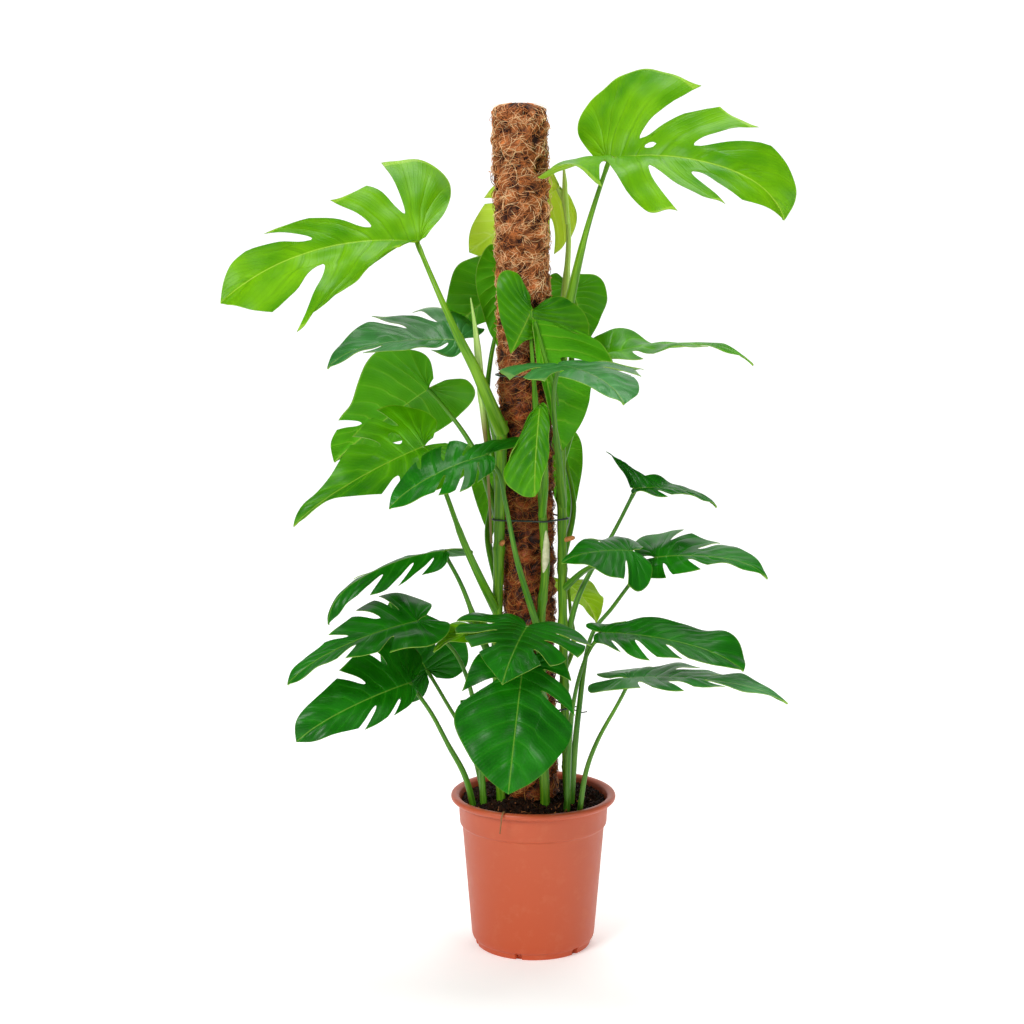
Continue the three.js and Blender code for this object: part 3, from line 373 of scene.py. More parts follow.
@dataclass(frozen=True)
class LeafFinish:
    """Face of a living leaf: waxy cuticle over green tissue, with paler midrib, side veins and margin.

    The wax gives a satin gloss that turns grey-white where the sky is seen in it at a low angle. The
    underside is paler and duller, and its veins stand out. patch and grain are in millimetres.
    """

    name: str
    deep: str
    light: str
    vein: str
    rib: str
    through: str
    roughness: float
    coat: float
    veins_raised: bool = False
    vein_strength: float = 0.16
    thin: float = 0.22
    patch: float = 71.4
    grain: float = 2.38

    def material(self) -> Material:
        """Builds the material.

        Returns:
            A material that reads the blade's uv, side veins at each half turn of v, and its mark "rib".
        """
        graph = Graph(self.name)
        place = graph.add("TexCoord", (), "Object")
        cloud = graph.add("TexNoise", {"Vector": place, "Scale": per_metre(self.patch), "Detail": 4})
        grain = graph.add("TexNoise", {"Vector": place, "Scale": per_metre(self.grain), "Detail": 3})
        blade = graph.add("UVMap", (), uv_map="surface")
        out = graph.add("Math", (graph.add("SeparateXYZ", (blade,), "X"),), operation="ABSOLUTE")
        phase = graph.add("SeparateXYZ", (blade,), "Y")
        # side veins: distance from the nearest half turn of v, 0 on the vein and 0.5 midway
        turn = graph.add("Math", (phase,), operation="FRACT")
        apart = graph.add("Math", (turn, 0.5), operation="SUBTRACT")
        apart = graph.add("Math", (apart,), operation="ABSOLUTE")
        line = graph.add("MapRange", (apart, 0.015, 0.1, 1.0, 0.0), interpolation_type="SMOOTHSTEP")
        fade = graph.add("MapRange", (out, 0.3, 1.0, 1.0, 0.15))
        line = graph.add("Math", (line, fade), operation="MULTIPLY")
        # fine veins run beside the side veins, a sixth of their spacing apart, and wander a little
        wander = graph.add("Math", (cloud, 0.35, phase), operation="MULTIPLY_ADD")
        fine = graph.add("Math", (wander, 12 * math.pi), operation="MULTIPLY")
        fine = graph.add("Math", (fine,), operation="SINE")
        fine = graph.add("MapRange", (fine, 0.55, 1.0, 0.0, 1.0))
        # the midrib is 2.6 mm wide at most, and paler tissue reaches 8 mm from it
        off_rib = graph.add("Attribute", (), "Fac", attribute_name="rib")
        rib = graph.add("MapRange", (off_rib, 0.35, 1.3, 1.0, 0.0), interpolation_type="SMOOTHSTEP")
        near_rib = graph.add("MapRange", (off_rib, 1.0, 8.0, 0.3, 0.0))
        margin = graph.add("MapRange", (out, 0.975, 0.993, 0.0, 0.5), interpolation_type="SMOOTHSTEP")
        # tissue is paler in patches and beside the side veins
        mottle = graph.add("MapRange", (cloud, 0.3, 0.7, 0.0, 1.0))
        panel = graph.add("MapRange", (apart, 0.0, 0.34, 0.3, 0.0))
        body = graph.add("Math", (mottle, 0.8, panel), operation="MULTIPLY_ADD", use_clamp=True)
        shades = {0: body, MIX_A: linear(self.deep), MIX_B: linear(self.light)}
        colour = graph.add("Mix", shades, MIX_RESULT, data_type="RGBA")
        for mask, strength, shade in (
            (near_rib, 0.8, self.light),
            (fine, 0.1, self.vein),
            (line, self.vein_strength, self.vein),
            (margin, 1.0, self.rib),
            (rib, 0.75, self.rib),
        ):
            share = graph.add("Math", (mask, strength), operation="MULTIPLY", use_clamp=True)
            shades = {0: share, MIX_A: colour, MIX_B: linear(shade)}
            colour = graph.add("Mix", shades, MIX_RESULT, data_type="RGBA")
        rough = graph.add("MapRange", (cloud, 0.25, 0.75, self.roughness - 0.06, self.roughness + 0.08))
        relief = graph.add("Math", (grain, 0.25, fine), operation="MULTIPLY_ADD")
        stand = 3.0 if self.veins_raised else -2.0
        relief = graph.add("Math", (line, stand, relief), operation="MULTIPLY_ADD")
        bump = graph.add("Bump", {"Height": relief, "Strength": 0.35, "Distance": 0.4 * MM})
        shader = graph.add("BsdfPrincipled", {
            "Base Color": colour,
            "Roughness": rough,
            "Normal": bump,
            "IOR": 1.42,
            "Specular IOR Level": 0.24,
            "Coat Weight": self.coat,
            "Coat Roughness": 0.2,
        })
        # light that comes through the tissue is yellower than the light that it throws back
        through = graph.add("BsdfTranslucent", {"Color": linear(self.through), "Normal": bump})
        return graph.done(graph.add("MixShader", (self.thin, shader, through)))


@dataclass(frozen=True)
class StalkFinish:
    """Skin of a stalk or stem: smooth green rind, streaked lengthwise, with corky brown scars.

    The rind is nearly as glossy as the leaf; where an old sheath has dried it turns buff and dull, and
    a young roll has dried brown over its first millimetres, as many as dried says. streaks and blots
    are how many lie round a stalk, and their lengths are in millimetres.
    """

    name: str
    deep: str
    light: str
    scar: str
    scars: float
    roughness: float = 0.4
    dried: float = 0.0
    streaks: float = 14.0
    streak_length: float = 62.5
    blots: float = 4.8
    blot_length: float = 12.5

    def material(self) -> Material:
        """Builds the material.

        Returns:
            A material that reads the tube's uv, the turn and the way travelled in millimetres.
        """
        graph = Graph(self.name)
        way = graph.add("UVMap", (), uv_map="surface")
        place = graph.add("Mapping", {"Vector": way, "Scale": (self.streaks, 1 / self.streak_length, 1.0)})
        streak = graph.add("TexNoise", {"Vector": place, "Scale": 1.0, "Detail": 3})
        place = graph.add("Mapping", {"Vector": way, "Scale": (self.blots, 1 / self.blot_length, 1.0)})
        blot = graph.add("TexNoise", {"Vector": place, "Scale": 1.0, "Detail": 5})
        band = graph.add("MapRange", (streak, 0.36, 0.64, 0.0, 1.0))
        edges = (0.78 - self.scars, 0.86 - self.scars)
        mark = graph.add("MapRange", (blot, *edges, 0.0, 0.85), interpolation_type="SMOOTHSTEP")
        travelled = graph.add("SeparateXYZ", (way,), "Y")
        dry = graph.add("MapRange", (travelled, self.dried - 40, self.dried, 0.8 if self.dried else 0.0, 0.0))
        shades = {0: band, MIX_A: linear(self.deep), MIX_B: linear(self.light)}
        colour = graph.add("Mix", shades, MIX_RESULT, data_type="RGBA")
        for mask in (mark, dry):
            shades = {0: mask, MIX_A: colour, MIX_B: linear(self.scar)}
            colour = graph.add("Mix", shades, MIX_RESULT, data_type="RGBA")
        rough = graph.add("MapRange", (mark, 0.0, 0.85, self.roughness, 0.8))
        bump = graph.add("Bump", {"Height": streak, "Strength": 0.3, "Distance": 0.6 * MM})
        return graph.done(graph.add("BsdfPrincipled", {
            "Base Color": colour,
            "Roughness": rough,
            "Normal": bump,
            "IOR": 1.45,
            "Specular IOR Level": 0.35,
            "Coat Weight": 0.06,
            "Coat Roughness": 0.25,
        }))


@dataclass(frozen=True)
class CoirFinish:
    """Coconut husk fibre: dry, woody strands, golden to dark brown, darker where the pole is damp.

    Each strand has its own colour, from its mark "tone", which also holds painted shade: it is darker in
    the pits of the mat, on the lower coats and on the core under the strands. The lower pole has taken up
    water, up to a wavering edge. Heights and pattern sizes are in millimetres.
    """

    name: str
    dark: str
    middle: str
    pale: str
    wet: str
    dry_above: float = 930
    damp_below: float = 800
    waver: float = 140
    patch: float = 45.5
    grain: float = 1.11

    def material(self) -> Material:
        """Builds the material.

        Returns:
            A material that reads the mark "tone" and the height above the floor.
        """
        graph = Graph(self.name)
        place = graph.add("TexCoord", (), "Object")
        height = graph.add("SeparateXYZ", (place,), "Z")
        cloud = graph.add("TexNoise", {"Vector": place, "Scale": per_metre(self.patch), "Detail": 4})
        grain = graph.add("TexNoise", {"Vector": place, "Scale": per_metre(self.grain), "Detail": 2})
        colour = graph.add("ValToRGB", (graph.add("Attribute", (), "Fac", attribute_name="tone"),))
        ramp = colour.node.color_ramp
        ramp.elements[0].color = linear(self.dark)
        ramp.elements[1].color = linear(self.pale)
        ramp.elements.new(0.5).color = linear(self.middle)
        edge = graph.add("Math", (cloud, self.waver * MM, height), operation="MULTIPLY_ADD")
        dry, wet = ((level + self.waver / 2) * MM for level in (self.dry_above, self.damp_below))
        damp = graph.add("MapRange", (edge, dry, wet, 0.0, 0.95), interpolation_type="SMOOTHSTEP")
        shades = {0: damp, MIX_A: colour, MIX_B: linear(self.wet)}
        colour = graph.add("Mix", shades, MIX_RESULT, data_type="RGBA", blend_type="MULTIPLY")
        return graph.done(graph.add("BsdfPrincipled", {
            "Base Color": colour,
            "Roughness": graph.add("MapRange", (damp, 0.0, 0.95, 0.72, 0.5)),
            "Normal": graph.add("Bump", {"Height": grain, "Strength": 0.4, "Distance": 0.3 * MM}),
            "IOR": 1.5,
            "Specular IOR Level": 0.35,
        }))


@dataclass(frozen=True)
class SoilFinish:
    """Moist peat potting mix: near-black crumbs with lighter brown shreds, dull but for damp glints.

    crumb is the width of a crumb in millimetres.
    """

    name: str
    dark: str
    light: str
    roughness: float = 0.78
    crumb: float = 3.85

    def material(self) -> Material:
        """Builds the material.

        Returns:
            A material on object coordinates that also reads the mark "tone".
        """
        graph = Graph(self.name)
        place = graph.add("TexCoord", (), "Object")
        tone = graph.add("Attribute", (), "Fac", attribute_name="tone")
        crumb = graph.add("TexNoise", {"Vector": place, "Scale": per_metre(self.crumb), "Detail": 5})
        mixed = graph.add("Math", (crumb, 0.7, tone), operation="MULTIPLY_ADD")
        share = graph.add("MapRange", (mixed, 0.25, 1.3, 0.0, 1.0))
        shades = {0: share, MIX_A: linear(self.dark), MIX_B: linear(self.light)}
        return graph.done(graph.add("BsdfPrincipled", {
            "Base Color": graph.add("Mix", shades, MIX_RESULT, data_type="RGBA"),
            "Roughness": self.roughness,
            "Normal": graph.add("Bump", {"Height": crumb, "Strength": 0.8, "Distance": 1.5 * MM}),
            "Specular IOR Level": 0.15,
        }))


@dataclass(frozen=True)
class PotFinish:
    """Thermoformed polypropylene, dyed terracotta: even, satin, a little paler and pinker at the top.

    The sheet is pulled over a mould, so the surface has a fine grain and very slight waviness. Heights
    and pattern sizes are in millimetres; the grain is drawn a little coarse so that it shows.
    """

    name: str = "thermoformed_polypropylene"
    low: str = "#bc4a1c"
    high: str = "#b8502c"
    scuff: str = "#c46c48"
    roughness: float = 0.42
    low_until: float = 20
    high_from: float = 220
    waver: float = 80
    patch: float = 111
    dust: float = 21.7
    grain: float = 1.61

    def material(self) -> Material:
        """Builds the material.

        Returns:
            A material on object coordinates that reads the height above the floor.
        """
        graph = Graph(self.name)
        place = graph.add("TexCoord", (), "Object")
        height = graph.add("SeparateXYZ", (place,), "Z")
        cloud = graph.add("TexNoise", {"Vector": place, "Scale": per_metre(self.patch), "Detail": 3})
        grain = graph.add("TexNoise", {"Vector": place, "Scale": per_metre(self.grain), "Detail": 2})
        speck = {"Vector": place, "Scale": per_metre(self.dust), "Detail": 6, "Roughness": 0.7}
        dust = graph.add("TexNoise", speck)
        lift = graph.add("Math", (cloud, self.waver * MM, height), operation="MULTIPLY_ADD")
        rise = graph.add("MapRange", (lift, self.low_until * MM, self.high_from * MM, 0.0, 1.0))
        shades = {0: rise, MIX_A: linear(self.low), MIX_B: linear(self.high)}
        colour = graph.add("Mix", shades, MIX_RESULT, data_type="RGBA")
        worn = graph.add("MapRange", (dust, 0.52, 0.75, 0.0, 0.35))
        shades = {0: worn, MIX_A: colour, MIX_B: linear(self.scuff)}
        colour = graph.add("Mix", shades, MIX_RESULT, data_type="RGBA")
        return graph.done(graph.add("BsdfPrincipled", {
            "Base Color": colour,
            "Roughness": graph.add("MapRange", (dust, 0.3, 0.7, self.roughness - 0.05, self.roughness + 0.1)),
            "Normal": graph.add("Bump", {"Height": grain, "Strength": 0.12, "Distance": 0.3 * MM}),
            "IOR": 1.49,
        }))


@dataclass(frozen=True)
class PlainFinish:
    """Finish of a small piece: one stuff with a fine uneven shade, its spots given in millimetres.

    The coated garden wire is glossy; the dry sheath and the root skin are dull.
    """

    name: str
    dark: str
    light: str
    roughness: float
    spot: float = 6.25

    def material(self) -> Material:
        """Builds the material.

        Returns:
            A material on object coordinates.
        """
        graph = Graph(self.name)
        place = graph.add("TexCoord", (), "Object")
        cloud = graph.add("TexNoise", {"Vector": place, "Scale": per_metre(self.spot), "Detail": 4})
        share = graph.add("MapRange", (cloud, 0.35, 0.65, 0.0, 1.0))
        shades = {0: share, MIX_A: linear(self.dark), MIX_B: linear(self.light)}
        return graph.done(graph.add("BsdfPrincipled", {
            "Base Color": graph.add("Mix", shades, MIX_RESULT, data_type="RGBA"),
            "Roughness": self.roughness,
            "Normal": graph.add("Bump", {"Height": cloud, "Strength": 0.3, "Distance": 0.4 * MM}),
        }))


# Leaves


class Tone(Enum):
    """Age of a leaf; grey is a bluish grey-green that paints the sheen of the white surroundings on leaves
    lying flat, a painted reflection.
    """

    NEWEST = "newest"
    YOUNG = "young"
    MATURE = "mature"
    DARK = "dark"
    GREY = "grey"


UPPER_FACES: dict[Tone, LeafFinish] = {
    # the newest leaf is pale of itself, and its faces are drawn paler still as painted light coming through
    # it from behind
    Tone.NEWEST: LeafFinish(
        "newest_leaf_upper_face", "#9cc838", "#c4dc64", "#a4c848", "#d8ec90", "#f0ff60", 0.4, 0.05,
        vein_strength=0.5, thin=0.4,
    ),
    Tone.YOUNG: LeafFinish(
        "young_leaf_upper_face", "#3c8800", "#7cbc00", "#2c7400", "#b4d848", "#d8ff20", 0.38, 0.04,
        vein_strength=0.4,
    ),
    Tone.MATURE: LeafFinish(
        "mature_leaf_upper_face", "#1c6c00", "#5cac00", "#7cbc20", "#98c034", "#b8f000", 0.36, 0.06,
        vein_strength=0.24,
    ),
    Tone.DARK: LeafFinish(
        "dark_leaf_upper_face", "#045002", "#1c8408", "#40901c", "#78ac38", "#70c800", 0.32, 0.12,
        vein_strength=0.22,
    ),
    # painted reflection: this grey-blue green stands for the white surroundings seen in leaves lying flat
    Tone.GREY: LeafFinish(
        "painted_sheen_leaf_upper_face", "#1c6c24", "#4c9c50", "#68a85c", "#90b858", "#90d820", 0.36, 0.26,
    ),
}

LOWER_FACES: dict[Tone, LeafFinish] = {
    # the newest leaf is pale of itself, and its faces are drawn paler still as painted light coming through
    # it from behind
    Tone.NEWEST: LeafFinish(
        "newest_leaf_lower_face", "#b4d448", "#ccdf70", "#e4f0a8", "#e4f0a8", "#f0ff60", 0.55, 0,
        veins_raised=True, vein_strength=0.6, thin=0.5,
    ),
    Tone.YOUNG: LeafFinish(
        "young_leaf_lower_face", "#80b800", "#a4d000", "#cce45c", "#d0e468", "#d8ff20", 0.55, 0,
        veins_raised=True, vein_strength=0.5,
    ),
    Tone.MATURE: LeafFinish(
        "mature_leaf_lower_face", "#3c9400", "#58b000", "#8cc430", "#a0cc44", "#b8f000", 0.52, 0,
        veins_raised=True, vein_strength=0.45,
    ),
    Tone.DARK: LeafFinish(
        "dark_leaf_lower_face", "#1c7008", "#348814", "#74b038", "#8cbc4c", "#70c800", 0.54, 0,
        veins_raised=True, vein_strength=0.4,
    ),
    Tone.GREY: LeafFinish(
        "grey_leaf_lower_face", "#2c8028", "#4c9840", "#84b85c", "#98c068", "#90d820", 0.54, 0,
        veins_raised=True, vein_strength=0.4,
    ),
}

RINDS: dict[Tone, StalkFinish] = {
    # the newest stalk is pale green of itself, and is drawn paler still as painted light against the shade it
    # stands in
    Tone.NEWEST: StalkFinish("newest_stalk_rind", "#a8d440", "#d0ec84", "#9a8a4a", 0.0),
    Tone.YOUNG: StalkFinish("young_stalk_rind", "#4c8404", "#78a81c", "#8a7a3a", 0.02),
    Tone.MATURE: StalkFinish("mature_stalk_rind", "#347800", "#649c10", "#7c6c34", 0.06),
    Tone.DARK: StalkFinish("dark_stalk_rind", "#2c6c08", "#5c9020", "#6c6034", 0.08),
    Tone.GREY: StalkFinish("grey_leaf_stalk_rind", "#387410", "#689828", "#7c7040", 0.06),
}

# half outlines from the stalk to the tip: distance out in half widths, distance along in lengths
OUTLINES: dict[str, tuple[Pair, ...]] = {
    "broad": (
        (0.1, -0.13), (0.42, -0.24), (0.8, -0.2), (1.03, -0.02), (1.05, 0.2), (0.92, 0.42), (0.7, 0.62),
        (0.43, 0.79), (0.16, 0.92), (0, 1),
    ),
    "blunt": (
        (0.08, -0.08), (0.38, -0.17), (0.74, -0.12), (1.0, 0.04), (0.96, 0.2), (0.76, 0.4), (0.6, 0.58),
        (0.48, 0.76), (0.3, 0.91), (0, 1),
    ),
    "shoulder": (
        (0.06, -0.03), (0.46, -0.13), (0.9, -0.16), (1.08, -0.06), (0.93, 0.11), (0.57, 0.26), (0.38, 0.45),
        (0.33, 0.67), (0.25, 0.86), (0, 1),
    ),
    "drooping": (
        (0.02, 0.02), (0.27, 0.08), (0.54, 0.16), (0.79, 0.24), (0.93, 0.34), (1.0, 0.46), (0.74, 0.57),
        (0.62, 0.7), (0.4, 0.84), (0, 1),
    ),
    "teardrop": (
        (0.05, 0.02), (0.2, 0.12), (0.42, 0.28), (0.62, 0.46), (0.85, 0.62), (1.0, 0.75), (0.92, 0.86),
        (0.62, 0.95), (0.3, 0.99), (0, 1),
    ),
    "spurred": (
        (0.04, -0.05), (0.1, -0.25), (0.3, -0.46), (0.48, -0.5), (0.52, -0.3), (0.42, -0.02), (0.75, 0.16),
        (0.85, 0.4), (0.5, 0.74), (0, 1),
    ),
    "horned": (
        (0.04, -0.04), (0.3, -0.08), (0.62, -0.14), (0.95, -0.2), (1.0, -0.24), (0.6, -0.06), (0.3, 0.08),
        (0.46, 0.3), (0.4, 0.6), (0, 1),
    ),
    "late": (
        (0.06, -0.04), (0.3, -0.12), (0.6, -0.06), (0.76, 0.1), (0.86, 0.3), (0.96, 0.5), (1.0, 0.7),
        (0.9, 0.86), (0.5, 0.96), (0, 1),
    ),
    "shield": (
        (0.06, -0.04), (0.3, -0.12), (0.62, -0.08), (0.8, 0.1), (0.88, 0.3), (1.0, 0.46), (0.97, 0.6),
        (0.72, 0.77), (0.36, 0.91), (0, 1),
    ),
    "spoon": (
        (0.15, -0.16), (0.27, -0.3), (0.58, -0.52), (0.88, -0.53), (1.0, -0.4), (0.96, -0.1), (0.8, 0.17),
        (0.56, 0.46), (0.28, 0.72), (0, 1),
    ),
    "dome": (
        (0.07, -0.2), (0.16, -0.4), (0.38, -0.62), (0.68, -0.63), (0.86, -0.49), (0.97, -0.32),
        (1.0, -0.12),
        (0.6, 0.12), (0.16, 0.5), (0, 1),
    ),
    "trailing": (
        (0.02, 0), (0.1, 0.03), (0.23, 0.1), (0.37, 0.2), (0.51, 0.33), (0.63, 0.46), (0.8, 0.64),
        (0.88, 0.78),
        (0.4, 0.91), (0, 1),
    ),
    "slim": (
        (0.04, 0), (0.25, -0.02), (0.5, 0.02), (0.72, 0.12), (0.88, 0.28), (0.9, 0.45), (0.8, 0.62),
        (0.6, 0.78), (0.34, 0.91), (0, 1),
    ),
}

# shares of the way from midrib to margin, or of the outline from stalk to tip, that all leaves have
VEIN_FAN = 0.33
VEIN_BEND = 0.25
TAPER_FROM = 0.25
TAPER_OVER = 0.5
SLIT_HALF_GAP = 0.022
SLIT_ROUND_END = 0.35
SLIT_STRAIGHT_SIDE = 0.6
NO_SLIT = 1
CALM_ROW = 0.45
HOOK_START = 0.55
OPEN_BY = 0.4
# waves of the ripple along a half's margin, and how far a knuckle sinks under its blade, in stalk radii
RIPPLE_WAVES = 3.2
NECK_SINK = 0.3


@dataclass(frozen=True)
class Leaf:
    """One leaf: where it is held, how its blade is bent and slit, and the way of its stalk.

    A pair is for the left and the right half. arc and hook bend the midrib down, roll curls a half,
    fold lifts it about the midrib and open is its fold beside the stalk, all in degrees. taper narrows
    a half towards the tip, sweep draws its side veins forward, and bend curves the midrib aside.
    ripple is the height of the waves of the margin.

    A slit is its place on the outline, from 0 at the stalk to 1 at the tip, and how far out it starts
    on the left and on the right. gap and flare widen slits, round and point shape the ends of the
    fingers between them. A hole is its half, -1 left or 1 right, its place on the outline, how far out
    it lies, and its reach both ways. stalk holds the radii of its foot and neck, sheath how it thins
    between them, and bud names the rolled leaf that grows from it.
    """

    name: str
    attach: Point
    tip: Point
    facing: Point
    width: Pair
    route: tuple[Point, ...]
    tone: Tone = Tone.MATURE
    arc: float = 28
    hook: float = 20
    roll: Pair = (22, 22)
    fold: Pair = (10, 10)
    open: Pair | None = None
    outline: tuple[str, str] = ("broad", "broad")
    taper: Pair = (0.15, 0.15)
    sweep: float = 1.4
    bend: float = 0
    ripple: float = 3
    gap: float = 1
    flare: float = 0.3
    round: float = 0.06
    point: float = 0.02
    slits: tuple[Point, ...] = ()
    holes: tuple[tuple[float, float, float, float, float], ...] = ()
    stalk: Pair = (6, 2.8)
    sheath: float = 1.6
    bud: str | None = None


